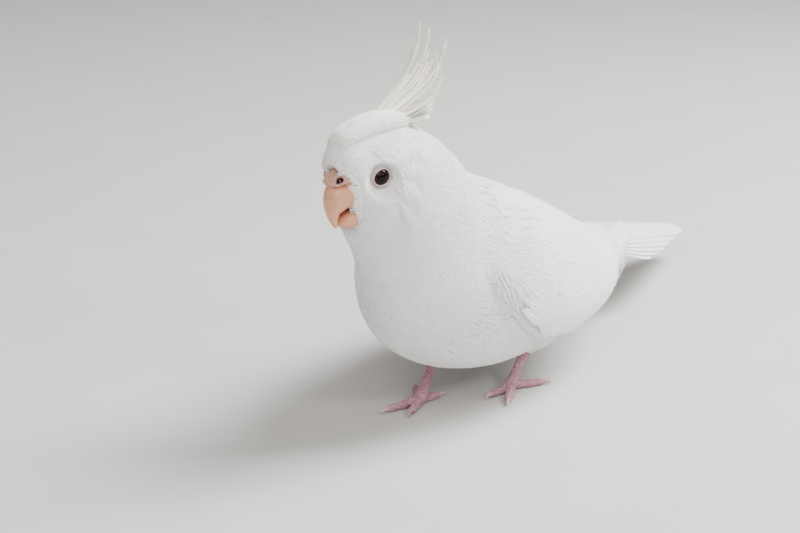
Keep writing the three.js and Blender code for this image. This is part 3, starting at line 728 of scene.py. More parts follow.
def lid_ring(name):
    """Two thin folds round an opening that is longer from the bill's side below to the
    nape's side above: radius 2.95 + 0.17 cos(2(t - t0)). The rim hugs the ball, so its
    height is the ball's own there, and slow waves make each fold uneven."""
    centre, facing = EYES[name]
    k = np.linspace(0, len(LID_PROFILE) - 1, 44)
    r, h = (between([p[i] for p in LID_PROFILE], k)[:, None] for i in (0, 1))
    t = np.linspace(0, 2 * np.pi, 200, False)[None, :]
    long_way = math.radians(145 if name == "left" else 35)
    opening = 2.95 + 0.17 * np.cos(2 * (t - long_way))
    face = np.sqrt((EYE_RADIUS + 0.16) ** 2 - opening ** 2)
    rim = np.exp(-((r - 0.85) / 0.35) ** 2)
    bead = 0.05 * np.cos(34 * t + 1.3 * np.sin(3 * t)) + 0.07 * np.sin(7 * t + 4 * r)
    stretch = 1 + 0.16 * np.cos(t - long_way) * np.clip(r / 1.2, 0, 1)
    aside = np.cross(facing, UP)
    aside /= np.linalg.norm(aside)
    above = np.cross(aside, facing)
    reach = opening + 0.86 * r + (stretch - 1) * np.clip(r, 0, 2)
    high = face + h + rim * bead
    ring = (centre + reach[..., None] * (np.cos(t)[..., None] * aside
                                         + np.sin(t)[..., None] * above)
            + high[..., None] * facing)
    points, faces = tube(ring)
    across = np.broadcast_to(k[:, None] / k[-1], reach.shape).ravel()
    return points, faces, {"Fold": np.stack([np.append(across, [0, 1]),
                                             np.zeros(len(points))], -1)}


lids = [lid_ring(name) for name in SIDES]
plain = {"Fold": np.ones((len(skin_points), 2))}
points, faces, maps = merged([(skin_points, skin_faces, plain)] + lids)
FLESH = ("head", "neck", "torso", "thigh_left", "thigh_right")
skin = finished("skin", points, faces, maps, "plumage", FLESH, plumage, lid_skin, cere_skin,
                mouth)
of_vertex = np.empty(len(skin.data.loops), np.int32)
skin.data.loops.foreach_get("vertex_index", of_vertex)
first_corner = np.empty(len(skin.data.polygons), np.int32)
skin.data.polygons.foreach_get("loop_start", first_corner)
corner = of_vertex[first_corner]
above = head_place(points)[2]
front = window(points)
in_mouth = (front > 0.92) & (above > -16) & (above < -7)
shade = np.where(in_mouth, 3, np.where((front > 0.4) & (above > -3.5), 2, 0))
paint_index = np.where(corner >= len(skin_points), 1, shade[corner])
skin.data.polygons.foreach_set("material_index", paint_index.astype(np.int32))
print("skin", made["skin"], "triangles")


# %% [markdown]
# The coat is thousands of small blades in tufts, sown evenly over the same surfaces. Each
# follows the surface from its root, so the coat lies flat and sleek, with the length and
# width a cockatiel has there: fine hairs on the face, soft plumes on the crown and neck,
# broader filaments on breast, back and belly.

# %% Sowing and combing the coat
def sow(surface, a_range, b_range, density, start=1):
    """Evenly mixed places: an additive sequence bent by the running sum of the area."""
    a, b = np.linspace(*a_range, 90), np.linspace(*b_range, 120)
    grid = surface(*np.meshgrid(a, b, indexing="ij"))
    area = np.linalg.norm(np.cross(grid[1:, :-1] - grid[:-1, :-1],
                                   grid[:-1, 1:] - grid[:-1, :-1]), axis=-1)
    count = int(area.sum() * density)
    cum_a = np.concatenate([[0], np.cumsum(area.sum(1))]) / area.sum()
    cum_b = np.concatenate([np.zeros((len(area), 1)), np.cumsum(area, 1)], 1)
    cum_b /= cum_b[:, -1:]
    k = np.arange(count) + start
    u, v = (k * 0.7548776662467) % 1, (k * 0.5698402909980) % 1
    row = np.clip(np.searchsorted(cum_a, u, side="right") - 1, 0, len(area) - 1)
    found = np.searchsorted((cum_b + np.arange(len(area))[:, None]).ravel(), v + row, "right")
    i = np.clip(found - row * len(b) - 1, 0, len(b) - 2)
    share = (v - cum_b[row, i]) / np.maximum(cum_b[row, i + 1] - cum_b[row, i], 1e-9)
    return np.interp(u, cum_a, a), b[i] + np.clip(share, 0, 1) * (b[1] - b[0])


def wave(points, scale, seed):
    """Slow smooth variation from -1 to 1: a sum of sines along seeded directions."""
    local = np.random.default_rng(seed)
    ways = unit(local.normal(size=(5, 3)))
    phases = local.uniform(0, 6.28, 5)
    return np.sin(points @ ways.T * (6.28 / scale) + phases).mean(-1) * 1.6


LIMIT = 190000  # triangles in one piece


def coat(name, surface, a_range, b_range, density, size, home, per=4, fan=0.2, rings=4,
         keep=None, settle=None, sign=1, start=1, paint=None, heading=0.0, least=None,
         bend=0.0, swerve=None):
    """Tufts of blades combed along +a, turned by heading. size gives length, width, depth of
    the root and the height of the rest above the surface. A blade's height is
    rest - (depth + 0.15) (1 - s)^1.7 + a small random lift s, s running to the tip."""
    a, b = sow(surface, a_range, b_range, density, start)
    root = surface(a, b)
    if keep is not None:
        use = keep(a, b, root)
        a, b, root = a[use], b[use], root[use]
    order = np.argsort(a, kind="stable")
    a, b, root = (np.repeat(v[order], per, axis=0) for v in (a, b, root))
    n = len(a)
    length, width, depth, rest = size(a, b)
    turn = np.tile((np.arange(per) - (per - 1) / 2) * fan, n // per)
    turn = turn + rng.normal(0, 0.05, n) + 0.10 * wave(root, 26, 3)
    length = length * (1 - 0.35 * np.abs(turn)) * rng.uniform(0.78, 1.12, n)
    width = width * rng.uniform(0.75, 1.2, n)
    span_a = np.linalg.norm(surface(a + 0.02, b) - surface(a - 0.02, b), axis=-1) / 0.04
    span_b = np.linalg.norm(surface(a, b + 0.02) - surface(a, b - 0.02), axis=-1) / 0.04
    s = np.linspace(0, 1, rings)[None, :]
    if swerve is not None:
        turn = turn + swerve(a, b)
    way = (turn + heading)[:, None] + bend * np.sign(np.sin(b))[:, None] * (0.3 + s)
    lie_a = a[:, None] + (length / np.maximum(span_a, 0.5))[:, None] * np.cos(way) * s
    lie_b = b[:, None] + (length / np.maximum(span_b, 0.5))[:, None] * np.sin(way) * s
    if least is not None:
        lie_a = np.maximum(lie_a, least)
    spine = surface(lie_a, lie_b)
    normal = frame_of(surface, lie_a, lie_b)[1] * sign
    tip = depth * (rng.uniform(-0.07, 0.03, n) + 0.07 * wave(root, 11, 5))
    out = rest[:, None] - (depth + 0.15)[:, None] * (1 - s) ** 1.7 + tip[:, None] * s
    if settle is not None:
        spine = settle(spine)
    spine = spine + normal * out[..., None]
    profile = np.interp(s, [0, 0.35, 0.7, 1], [0.55, 1.0, 0.78, 0.06])
    patch = home(a, b)
    each = (rings - 1) * 6 + 2
    chunk = LIMIT // each
    pieces = max(1, -(-n // chunk))
    for i in range(pieces):
        part = slice(i * n // pieces, (i + 1) * n // pieces)
        points, faces = blades(spine[part], normal[part], width[part, None] * profile)
        label = name if pieces == 1 else f"{name}_{i + 1}"
        obj = piece(label, points, faces, {"OFBake": bake_map(patch[part], rings)},
                    smooth=False, slot="plumage")
        obj.data.materials.append(paint or plumage)
    print(name, n, "blades,", n * each, "triangles")


# %% [markdown]
# Where the coat is left off: inside the bill and the cere, inside the lids, and under the
# folded wings, which cover the flanks with their own feathers.

# %% The body's coat
UPPER_BILL = [((5.5, -1.8), (4.6, -9.6), 7.2), ((12, -2.2), (8, -10.5), 6.5),
              ((15.5, -3.4), (10.4, -11.6), 5.2), ((17, -7.4), (12.2, -12.6), 4.2),
              ((17, -11.4), (13.1, -13.6), 3.1), ((16.1, -14.8), (13.1, -15.6), 2),
              ((14.6, -17.5), (13, -17.5), 1), ((13.4, -18.9), (12.9, -18.7), 0.4)]
LOWER_BILL = [((5, -10.9), (4.8, -18.6), 6.4), ((8.6, -12.9), (8.2, -19.2), 5.4),
              ((10.8, -14.7), (10.4, -19.2), 4.1), ((12.1, -15.9), (11.6, -18.6), 2.9),
              ((12.3, -16.2), (12.2, -17.6), 1.6)]
CERE = [((6.5, 3.4), (5.5, -2.4), 7.6), ((12.2, 2.6), (10.5, -2.6), 6.7),
        ((14.8, 1.1), (13, -2.6), 5.3), ((16, -1), (14.6, -2.9), 3.9),
        ((16.3, -2.2), (15.7, -3.3), 2.6)]
TONGUE = [((5.5, -11.4), (5.5, -12.6), 2.2), ((9.3, -12.2), (9.2, -13.2), 2),
          ((11.4, -13.6), (11.2, -14.4), 1.1)]


def inside_sections(points, sections, spare):
    """True where a point lies within a loft of the head, grown by spare."""
    forward, left, above = head_place(points)
    inside = np.zeros(forward.shape, bool)
    for place in np.linspace(0, len(sections) - 1, 40):
        upper, lower, half = section(sections, place)
        u, v, half = np.array(upper), np.array(lower), half + spare
        middle, reach = (u + v) / 2, (u - v) / 2
        size = np.linalg.norm(reach)
        way = reach / size
        df, dz = forward - middle[0], above - middle[1]
        across = df * way[0] + dz * way[1]
        along = df * way[1] - dz * way[0]
        inside |= (np.abs(along) < 0.7) & ((across / (size + spare)) ** 2
                                           + (left / half) ** 2 < 1)
    return inside


def eye_distance(points):
    """Distance from the nearer eye's line of sight, on the outer side of that eye."""
    best = np.full((*points.shape[:-1], 1), 99.0)
    for centre, facing in EYES.values():
        high, _, r = from_sight(points, centre, facing)
        best = np.where(high > 0, np.minimum(best, r), best)
    return best[..., 0]


def inside_outline(x, z, outline):
    """Even-odd test of points against a closed outline of (x, z) corners."""
    inside = np.zeros(x.shape, bool)
    for (x0, z0), (x1, z1) in zip(outline, np.roll(outline, -1, axis=0)):
        crosses = (z0 > z) != (z1 > z)
        inside ^= crosses & (x < (x1 - x0) * (z - z0) / (z1 - z0 + 1e-12) + x0)
    return inside


wing_edge = wing_envelope(1)
t = np.linspace(0.06, 0.97, 40)
outline = np.concatenate([wing_edge(t, 0.1 + 0 * t), wing_edge(0.97 + 0 * t, t)[::8],
                          wing_edge(t[::-1], 0.9 + 0 * t), wing_edge(0.06 + 0 * t, t[::-1])[::8]])
outline = outline[:, [0, 2]]


BARE_LIDS, PARTED = 3.75, 3.8


def bare(points):
    """Inside the bill and cere, at the corner of the mouth, and inside the lids."""
    inside = (inside_sections(points, UPPER_BILL, 0.7) | inside_sections(points, CERE, 0.5)
              | inside_sections(points, LOWER_BILL, 0.1))
    front = np.where(head_place(points)[2] > -3.5, 0.5, 0.85)
    return inside | (window(points) > front) | (eye_distance(points) < BARE_LIDS)


def under_wing(points):
    shown = inside_outline(points[..., 0], points[..., 2], outline)
    return shown & (np.abs(points[..., 1]) > 12)


def around_eye(points):
    """Blades that would cross the lids are parted: pushed out to 3.8 from the line of
    sight, and kept in the dish that the skin makes there."""
    points = dished(drawn_in(points))
    for centre, facing in EYES.values():
        high, flat, r = from_sight(points, centre, facing)
        push = np.where((high > 0) & (r < PARTED), PARTED - r, 0)
        points = points + flat / np.maximum(r, 1e-6) * push
    return points


wing_a, wing_b = np.meshgrid(np.linspace(0, 0.97, 500), np.linspace(0, 1, 300), indexing="ij")
wing_at = wing_edge(wing_a, wing_b)
MAP_FROM, MAP_SIZE = np.array([-60.0, 0.0]), (230, 120)
wing_height = np.zeros(MAP_SIZE)
cell = np.round(wing_at[..., [0, 2]] - MAP_FROM).astype(int)
ramp = 2.2 * smooth(wing_a / 0.08) * smooth((1.05 - wing_b) / 0.3)
np.maximum.at(wing_height, (cell[..., 0], cell[..., 1]), np.abs(wing_at[..., 1]) + ramp)


def over_wing(points):
    """Blades that reach past an edge of the folded wing are lifted on to it: |y| is at
    least the wing's own |y| there, read from a 1 mm map of its side view."""
    points = around_eye(points)
    place = np.round(points[..., [0, 2]] - MAP_FROM).astype(int)
    place = np.clip(place, 0, np.array(MAP_SIZE) - 1)
    wing_y = wing_height[place[..., 0], place[..., 1]]
    y = points[..., 1]
    covered = (np.abs(y) > 10) & (wing_y > 0) & (wing_y > np.abs(y))
    points[..., 1] = np.where(covered, np.sign(y) * wing_y, y)
    return points


def part_aside(a, b):
    """On the back, feathers beside the wings turn outwards by up to 0.5 radian."""
    from_top = np.abs((b + np.pi) % (2 * np.pi) - np.pi)
    share = smooth((from_top - 0.2) / 0.5) * smooth((1.5 - from_top) / 0.3)
    return 0.5 * np.sign(np.sin(b)) * share * smooth((a - 6.2) / 1.0) * smooth((12 - a) / 1.5)


SIZE_AT = [0, 1, 2, 3, 4, 5, 6, 7, 9, 13]
LENGTH = [2.2, 2.8, 4.0, 5.2, 6.5, 8.0, 9.0, 10.5, 12.5, 14.0]
WIDTH = [0.26, 0.30, 0.34, 0.40, 0.48, 0.58, 0.68, 0.80, 0.95, 1.05]


def body_size(a, b):
    near_eye = np.clip((eye_distance(body(a, b)) - 4) / 6, 0, 1)
    near_eye = np.where(a < 4.5, near_eye, 1)
    return (np.interp(a, SIZE_AT, LENGTH) * (0.4 + 0.6 * near_eye),
            np.interp(a, SIZE_AT, WIDTH) * (0.8 + 0.2 * near_eye), coat_depth(a), 0 * a)


def body_home(a, b):
    return np.stack([(b / (2 * np.pi)) % 1, a / BODY_END * 0.8], -1)


AROUND = (0, 2 * np.pi)
a_test, b_test = np.array([5.0]), np.array([1.5])
way = frame_of(body, a_test, b_test)[1]
OUT = float(np.sign((way * (body(a_test, b_test) - body(a_test, b_test + np.pi))).sum()))
for name, reach, density, per, rings, start in [
        ("coat_face", (0.02, 1.7), 2.6, 3, 3, 1), ("coat_head", (1.5, 3.4), 2.1, 3, 3, 2000),
        ("coat_nape", (3.2, 5.2), 1.2, 3, 3, 9000), ("coat_neck", (5.0, 7.2), 0.52, 4, 4, 20000),
        ("coat_body", (7.0, 12.9), 0.215, 4, 4, 30000)]:
    coat(name, body, reach, AROUND, density, body_size, body_home, per, 0.13, rings,
         lambda a, b, p: ~(bare(p) | under_wing(p)), over_wing, OUT, start, swerve=part_aside)
# Behind and below each eye the ear's long fine feathers lie in curved locks.
coat("coat_cheek", body, (2.0, 4.2), AROUND, 1.0,
     lambda a, b: (6.5 + 0.5 * a, 0.32 + 0 * a, 0.7 + 0 * a,
                   0.2 + 0.5 * wave(body(a, b) * [0.35, 1, 1.6], 6.0, 12)), body_home, 3, 0.08, 5,
     lambda a, b, p: (np.abs(np.cos(b - 0.15)) < 0.72) & ~bare(p)
     & (head_place(p)[0] < 2.5 + 0.5 * head_place(p)[2]), around_eye, OUT, 62000,
     bend=0.55)
# The brow's feathers hang forward and down over the root of the cere.
coat("coat_brow", body, (0.3, 1.5), AROUND, 2.4,
     lambda a, b: (2.0 + 1.4 * a, 0.28 + 0 * a, 0.5 + 0 * a, 0.35 + 0 * a), body_home, 3, 0.16, 4,
     lambda a, b, p: (np.cos(b) > rng.uniform(0.0, 0.7, len(b))) & (window(p) < 0.5)
     & (eye_distance(p) > 5), drawn_in, OUT, 60000,
     heading=math.pi, least=0.06)
for i, (name, surface) in enumerate(THIGHS.items()):
    coat(f"coat_thigh_{name}", surface, (0.2, 4.8), AROUND, 0.3,
         lambda a, b: (9 - a, 0.9 - 0.06 * a, 1.0 + 0 * a, 0 * a),
         lambda a, b, i=i: np.stack([(b / (2 * np.pi)) % 1 * 0.45 + 0.5 * i, 0.82 + a / 30], -1),
         4, 0.25, 4, lambda a, b, p: ~under_wing(p) | (p[..., 2] < 25), None, -1, 50000)


# %% [markdown]
# A large feather is a quill with a vane on each side: thin, a little arched across,
# rounded at its end and slightly waved at its edges. It is made as one closed sheet, with
# a raised quill and a map that runs across and along it for the barbs.

# %% Vanes
def vane(spine, normal, width, arch=0.0, tilt=0.0, thick=0.26, rounded=0.3, root=0.45, across=11,
         seed=0):
    """A closed feather along a spine. Half width follows root to full, then an ellipse over
    the last share called rounded; height across is quill - arch v^2 - tilt v."""
    local = np.random.default_rng(seed)
    length = np.concatenate([[0], np.cumsum(np.linalg.norm(np.diff(spine, axis=0), axis=1))])
    t = (length / length[-1])[:, None]
    ahead = np.gradient(spine, axis=0)
    aside = unit(np.cross(normal, ahead))
    v = np.linspace(-1, 1, across)[None, :]
    v = np.sign(v) * np.abs(v) ** 1.15
    grown = root + (1 - root) * np.sin(np.clip(t / 0.45, 0, 1) * np.pi / 2)
    ended = np.sqrt(np.clip(1 - np.clip((t - (1 - rounded)) / rounded, 0, 1) ** 2.4, 0.004, 1))
    waves = 1 + 0.035 * np.sin(t * local.uniform(14, 26) + v * 2 + local.uniform(0, 6.28)) * t
    half = width / 2 * grown * ended * waves
    side = half * v
    quill = 0.24 * np.exp(-(side / 0.45) ** 2) * (1 - 0.7 * t)
    edge = 1 - 0.75 * np.abs(v) ** 3
    ruffle = 0.10 * np.sin(v * local.uniform(5, 9) + t * 8 + local.uniform(0, 6.28)) * t
    out = -arch * v ** 2 * (half / (width / 2)) - tilt * v * grown + ruffle
    flat = spine[:, None, :] + side[..., None] * aside[:, None, :]
    top = flat + (out + edge * thick / 2 + quill)[..., None] * normal[:, None, :]
    low = flat + (out - edge * thick / 2)[..., None] * normal[:, None, :]
    points, faces = tube(np.concatenate([top, low[:, ::-1]], 1))
    u = np.broadcast_to(v / 2 + 0.5, top.shape[:2])
    along = np.broadcast_to(t * length[-1] / 10, top.shape[:2])
    one = np.stack([u, along], -1)
    chart = np.concatenate([one, one[:, ::-1]], 1).reshape(-1, 2)
    chart = np.concatenate([chart, [[0.5, 0.0], [0.5, along[-1, 0]]]])
    return points, faces, {"Vane": chart}


def steps(count, tip=1.5):
    """Shares from 0 to 1 that crowd towards 1, where a feather's end curves."""
    return 1 - (1 - np.linspace(0, 1, count)) ** tip


def mix(a, b, t):
    return a + (b - a) * t


# %% [markdown]
# A folded wing shows its feathers in tiers, each lying over the roots of the next: lesser,
# median and greater coverts, then secondaries, with the primaries' stack below them
# running to the wing's tip, and scapulars over the upper edge. Each tier is one line of the
# table: how many, where the first and last start and end along and down the wing, width,
# heights above the envelope at root and tip, and the roundness of the end.

# %% Wings
TIERS = [
    ("primary", 9, (0.40, 0.50), (0.34, 0.90), (0.82, 0.40), (0.955, 0.66), (10, 8.5),
     (-1.8, -2.6), (0.2, -2.6), 0.22),
    ("secondary", 10, (0.28, 0.10), (0.28, 0.92), (0.68, 0.10), (0.55, 0.94), (14, 12.5),
     (-1.6, -1.8), (1.2, 0.3), 0.30),
    ("greater", 11, (0.19, 0.10), (0.15, 0.90), (0.43, 0.13), (0.41, 1.00), (12, 11),
     (-1.4, -1.4), (1.8, 1.3), 0.38),
    ("median", 11, (0.10, 0.10), (0.08, 0.90), (0.30, 0.15), (0.28, 0.98), (11, 10),
     (-1.3, -1.6), (2.0, 1.2), 0.45),
    ("lesser", 11, (0.04, 0.12), (0.03, 0.90), (0.20, 0.14), (0.19, 0.97), (10.5, 9.5),
     (-1.5, -2.0), (2.1, 0.8), 0.50),
    ("marginal", 10, (0.00, 0.12), (0.00, 0.90), (0.125, 0.14), (0.12, 0.96), (9.5, 8.5),
     (-1.6, -2.4), (1.9, 0.2), 0.55),
    ("scapular", 7, (0.06, 0.16), (0.32, 0.12), (0.24, 0.05), (0.56, 0.03), (11, 12),
     (-2.0, -1.4), (2.3, 2.0), 0.42),
]


def tuck(along, down):
    """How far the vanes turn in towards the body at the wing's lower and upper edges: up
    to 3.4 along the lower edge of its front part, and up to 1.4 along the upper edge."""
    lower = 3.4 * smooth((down - 0.76) / 0.3) * smooth((0.72 - along) / 0.3)
    return lower + 1.4 * smooth((0.14 - down) / 0.2) * smooth((0.6 - along) / 0.2)


def wing_vane(side, start, end, width, lift, rounded, seed, rows=26):
    """One feather from (along, down) to (along, down) of the wing's envelope."""
    surface = wing_envelope(side)
    t = steps(rows)
    along, down = mix(start[0], end[0], t), mix(start[1], end[1], t)
    normal = frame_of(surface, np.minimum(along, 0.8), down, 0.01)[1]
    middle = on_form(WING, np.array([3.5]), np.array([1.2]), 0)[0]
    normal *= np.sign(((surface(along * 0.5, down) - middle) * normal).sum(-1).mean())
    out = mix(lift[0], lift[1], smooth(t / 0.5)) - tuck(along, down)
    spine = surface(along, down) + out[:, None] * normal
    return vane(spine, normal, width, arch=width ** 2 / 300, tilt=-0.35 * side,
                rounded=rounded, seed=seed)


def base_height(along, down):
    """Height of the wing's fleshy base: 0.9 below the envelope, sinking 6 mm further at its
    front, rear, upper and lower edges, so that it runs into the body."""
    edge = np.minimum(np.minimum((along + 0.01) / 0.09, (0.62 - along) / 0.14),
                      np.minimum((down + 0.04) / 0.12, (1.06 - down) / 0.17))
    return -0.9 - 6.0 * (1 - smooth(edge))


def wing_base(side):
    """A closed pad on the wing's envelope between the body and the vanes."""
    surface = wing_envelope(side)
    along, down = np.meshgrid(np.linspace(0, 0.62, 50), np.linspace(-0.04, 1.06, 40),
                              indexing="ij")
    normal = frame_of(surface, along, down, 0.01)[1]
    normal *= np.sign((normal[..., 1] * side).sum())
    at = surface(along, down)
    top = at + normal * base_height(along, down)[..., None]
    low = at + normal * (base_height(along, down) - 2.5)[..., None]
    points, faces = tube(np.concatenate([top, low[:, ::-1]], 1))
    return points, faces, {"Vane": np.full((len(points), 2), 0.4)}


for name, side in SIDES.items():
    feathers = [wing_base(side)]
    for tier, (label, count, s0, s1, e0, e1, wide, lift0, lift1, rounded) in enumerate(TIERS):
        local = np.random.default_rng(40 + tier)
        for i in range(count):
            t = i / (count - 1)
            start = [mix(s0[k], s1[k], t) for k in (0, 1)]
            bend = t ** 0.7 if label == "primary" else t
            end = [mix(e0[0], e1[0], bend), mix(e0[1], e1[1], t)]
            if label in ("greater", "median", "lesser"):
                end[0] -= 0.03 * math.sin(math.pi * t)
            end[0] = min(end[0] + local.uniform(-0.008, 0.008), 0.99)
            start[1] += local.uniform(-0.01, 0.01)
            root, rest = mix(lift0[0], lift0[1], t), mix(lift1[0], lift1[1], t)
            rest += 0.12 * ((i % 2) - 0.5) + local.uniform(-0.08, 0.08)
            feathers.append(wing_vane(side, start, end, mix(*wide, t) * local.uniform(0.95, 1.05),
                                      (root, rest), rounded, 100 * tier + i))
    points, faces, maps = merged(feathers)
    wing = finished(f"wing_feathers_{name}", points, faces, maps, "flight_feathers",
                    (f"wing_{name}",), vanes)
    print("wing", name, len(feathers), "feathers,", made[wing.name], "triangles")

# %% [markdown]
# The bend of the wing has no vanes large enough to see, only small soft coverts, and soft
# filaments also break up the edges of the tiers behind it. They are sown like the coat.

# %% Small coverts on the wings
for i, (name, side) in enumerate(SIDES.items()):
    surface = wing_envelope(side)
    test = frame_of(surface, np.array([0.3]), np.array([0.5]), 0.01)[1][0]
    facing = float(np.sign(test[1] * side))
    for label, a_range, density, size in [
            ("bend", (0.0, 0.17), 0.5, lambda a, b: (8 + 16 * a, 0.8 + 0 * a, 1.3 + 0 * a,
                                                     2.3 * smooth(a / 0.05)
                                                     * smooth((1.05 - b) / 0.25)
                                                     * smooth((b + 0.02) / 0.14))),
            ("edge", (0.02, 0.6), 0.36, lambda a, b: (8 + 6 * a, 0.55 + 0 * a, 1.0 + 0 * a,
                                                     base_height(a, b) + 0.5)),
            ("mid", (0.15, 0.5), 0.2, lambda a, b: (15 + 4 * a, 1.1 + 0 * a, 0.4 + 0 * a,
                                                     (2.4 - 0.7 * smooth((a - 0.3) / 0.3))
                                                     * smooth((b + 0.02) / 0.14)))]:
        down = (0.80, 1.05) if label == "edge" else (0.03, 0.97)
        coat(f"wing_{label}_{name}", surface, a_range, down, density,
             size, lambda a, b, i=i: np.stack([0.5 * i + 0.45 * b, 0.3 + 0.3 * a], -1), 4,
             0.08 if label == "mid" else 0.2, 4, None, None, facing, 70000 + 1000 * i)

# %% [markdown]
# The tail is twelve narrow feathers, graduated so that the middle pair reaches furthest,
# stacked under one another and rolled a little to the bird's left. Coverts hide their
# roots above and below.

# %% Tail
TAIL_ROOT = np.array([93.5, 0, 42])
TAIL_LENGTH, TAIL_PAIRS = 137, 6
TAIL_SLOPE, TAIL_ROLL, TAIL_SPREAD = map(math.radians, (12, 16, 6.5))


def on_tail(back, aside, above):
    """A point of the tail's frame, rolled more and more over its first 60 mm, then sloped."""
    back, aside, above = np.broadcast_arrays(*(np.asarray(v, float)
                                               for v in (back, aside, above)))
    roll = TAIL_ROLL * smooth(back / 60)
    y = aside * np.cos(roll) - above * np.sin(roll)
    z = aside * np.sin(roll) + above * np.cos(roll)
    c, s = math.cos(TAIL_SLOPE), math.sin(TAIL_SLOPE)
    return np.stack([back * c + z * s, y, -back * s + z * c], -1) + TAIL_ROOT


def tail_normal(back):
    return unit(on_tail(back, 0, 1) - on_tail(back, 0, 0))


CONE_AT = [0, 9, 20, 32, 42]
CONE = dict(half=[9.6, 9.2, 8.6, 7.4, 4.6], rise=[5.2, 5.0, 4.2, 3.4, 2.2],
            fall=[5.6, 5.4, 4.6, 3.6, 2.6])


def on_cone(back, angle):
    half, rise, fall = (np.interp(back, CONE_AT, CONE[k]) for k in ("half", "rise", "fall"))
    high = np.cos(angle)
    return on_tail(back, half * np.sin(angle), np.where(high > 0, rise, fall) * high)


feathers = [(*loft(on_cone, (0, 42), 24, 32, lambda a: 0.8 + 0 * a), None)]
cone_points = len(feathers[0][0])
feathers[0] = (feathers[0][0], feathers[0][1], {"Vane": np.full((cone_points, 2), 0.5)})
for pair in range(TAIL_PAIRS):
    for side in (-1, 1):
        t = pair / (TAIL_PAIRS - 1)
        reach = TAIL_LENGTH * mix(1, 0.5, t ** 0.85)
        along = mix(4, reach, steps(44, 1.4))
        aside = side * (1.9 + pair * 0.9 + along * math.sin(TAIL_SPREAD * t))
        above = 3.0 - 0.6 * pair - 0.10 * np.abs(aside)
        feathers.append(vane(on_tail(along, aside, above), tail_normal(along), mix(12, 16, t),
                             arch=0.5, tilt=0.15 * side, rounded=0.24, root=0.5,
                             seed=900 + pair * 2 + side))
for row, (reach, count, lift) in enumerate([(30, 5, 0.2), (22, 6, 0.5), (14, 6, 0.8)]):
    for i in range(count):
        for face in (0, math.pi):
            angle = face + mix(-1.0, 1.0, i / (count - 1))
            along = mix(row * 2.0, reach + 8 + 4 * math.cos(angle) + rng.uniform(-4, 5), steps(22))
            at = on_cone(np.minimum(along, 41), angle + 0 * along)
            at += on_tail(along, 0, 0) - on_tail(np.minimum(along, 41), 0, 0)
            away = unit(at - on_tail(along, 0, 0))
            ahead = unit(np.gradient(at, axis=0))
            away = unit(away - (away * ahead).sum(1)[:, None] * ahead)
            sink = lift - 2.4 * np.linspace(0, 1, len(along))[:, None] ** 3
            feathers.append(vane(at + away * sink, away, 8.5, arch=0.8, rounded=0.6,
                                 seed=990 + row * 20 + i))
points, faces, maps = merged(feathers)
finished("tail_feathers", points, faces, maps, "flight_feathers", ("tail",), vanes)
print("tail", len(feathers), "feathers,", made["tail_feathers"], "triangles")

coat("tail_coverts", on_cone, (0.5, 26), AROUND, 0.22,
     lambda a, b: (13 - 0.1 * a, 0.95 + 0 * a, 1.0 + 0 * a, 0.3 + 0 * a),
     lambda a, b: np.stack([(b / (2 * np.pi)) % 1, 0.97 + a * 0.001], -1), 4, 0.22, 4, None,
     None, float(np.sign((frame_of(on_cone, np.array([9.0]), np.array([0.0]))[1][0][2]))),
     80000)

# %% [markdown]
# Crest feathers are narrow and loose: a fine shaft with barbs that part into strands near
# the tip. Each leaves the crown, lies back along it and bends up to its end, the front
# ones longest. A plume here is a slim vane with a spray of strands on both sides.

# %% Crest
CREST = [((10.5, 9.5), (-25.8, 52.2), 0.2, 3.2), ((8.8, 10.8), (-31.6, 48.8), -1.6, 3.6),
         ((7.0, 11.8), (-36.6, 44.8), 1.8, 3.2), ((5.0, 12.4), (-35.4, 38.4), -1.6, 3.8),
         ((2.5, 13.0), (-34.6, 31.0), 2.0, 4.2), ((0.0, 13.5), (-33.2, 24.8), -2.2, 4.2),
         ((-3.5, 13.8), (-30.0, 19.4), 2.0, 4.2), ((-7.5, 13.9), (-26.6, 14.6), -1.4, 4.0)]
SPREAD = 3.2
PLUMES = [(root, tip, aside, width, 0.0, 1.0) for root, tip, aside, width in CREST]
for spread in (-SPREAD, SPREAD):
    PLUMES += [(root, (tip[0] + 3, tip[1] - 2.5), aside * 0.4, width, spread, 1.0)
               for root, tip, aside, width in CREST[3:7]]
filling = np.random.default_rng(21)
for k in np.linspace(0.0, 6.95, 110):
    root = tuple(float(between([p[0][i] for p in CREST], k)) for i in (0, 1))
    tip = tuple(float(between([p[1][i] for p in CREST], k)) for i in (0, 1))
    wide = 3.0 * min(1, 0.3 + k / 4)
    PLUMES.append((root, tip, filling.uniform(-1.2, 1.2), 3.2, filling.uniform(-wide, wide),
                   filling.uniform(0.42, 0.88) if k > 0.6 else filling.uniform(0.4, 0.7)))


def bezier(ends, t):
    """The cubic curve (1-t)^3 a + 3t(1-t)^2 b + 3t^2(1-t) c + t^3 d, with its direction."""
    a, b, c, d = ends
    t = t[:, None]
    at = (1 - t) ** 3 * a + 3 * t * (1 - t) ** 2 * b + 3 * t * t * (1 - t) * c + t ** 3 * d
    way = (1 - t) ** 2 * (b - a) + 2 * t * (1 - t) * (c - b) + t * t * (d - c)
    return at, unit(way)


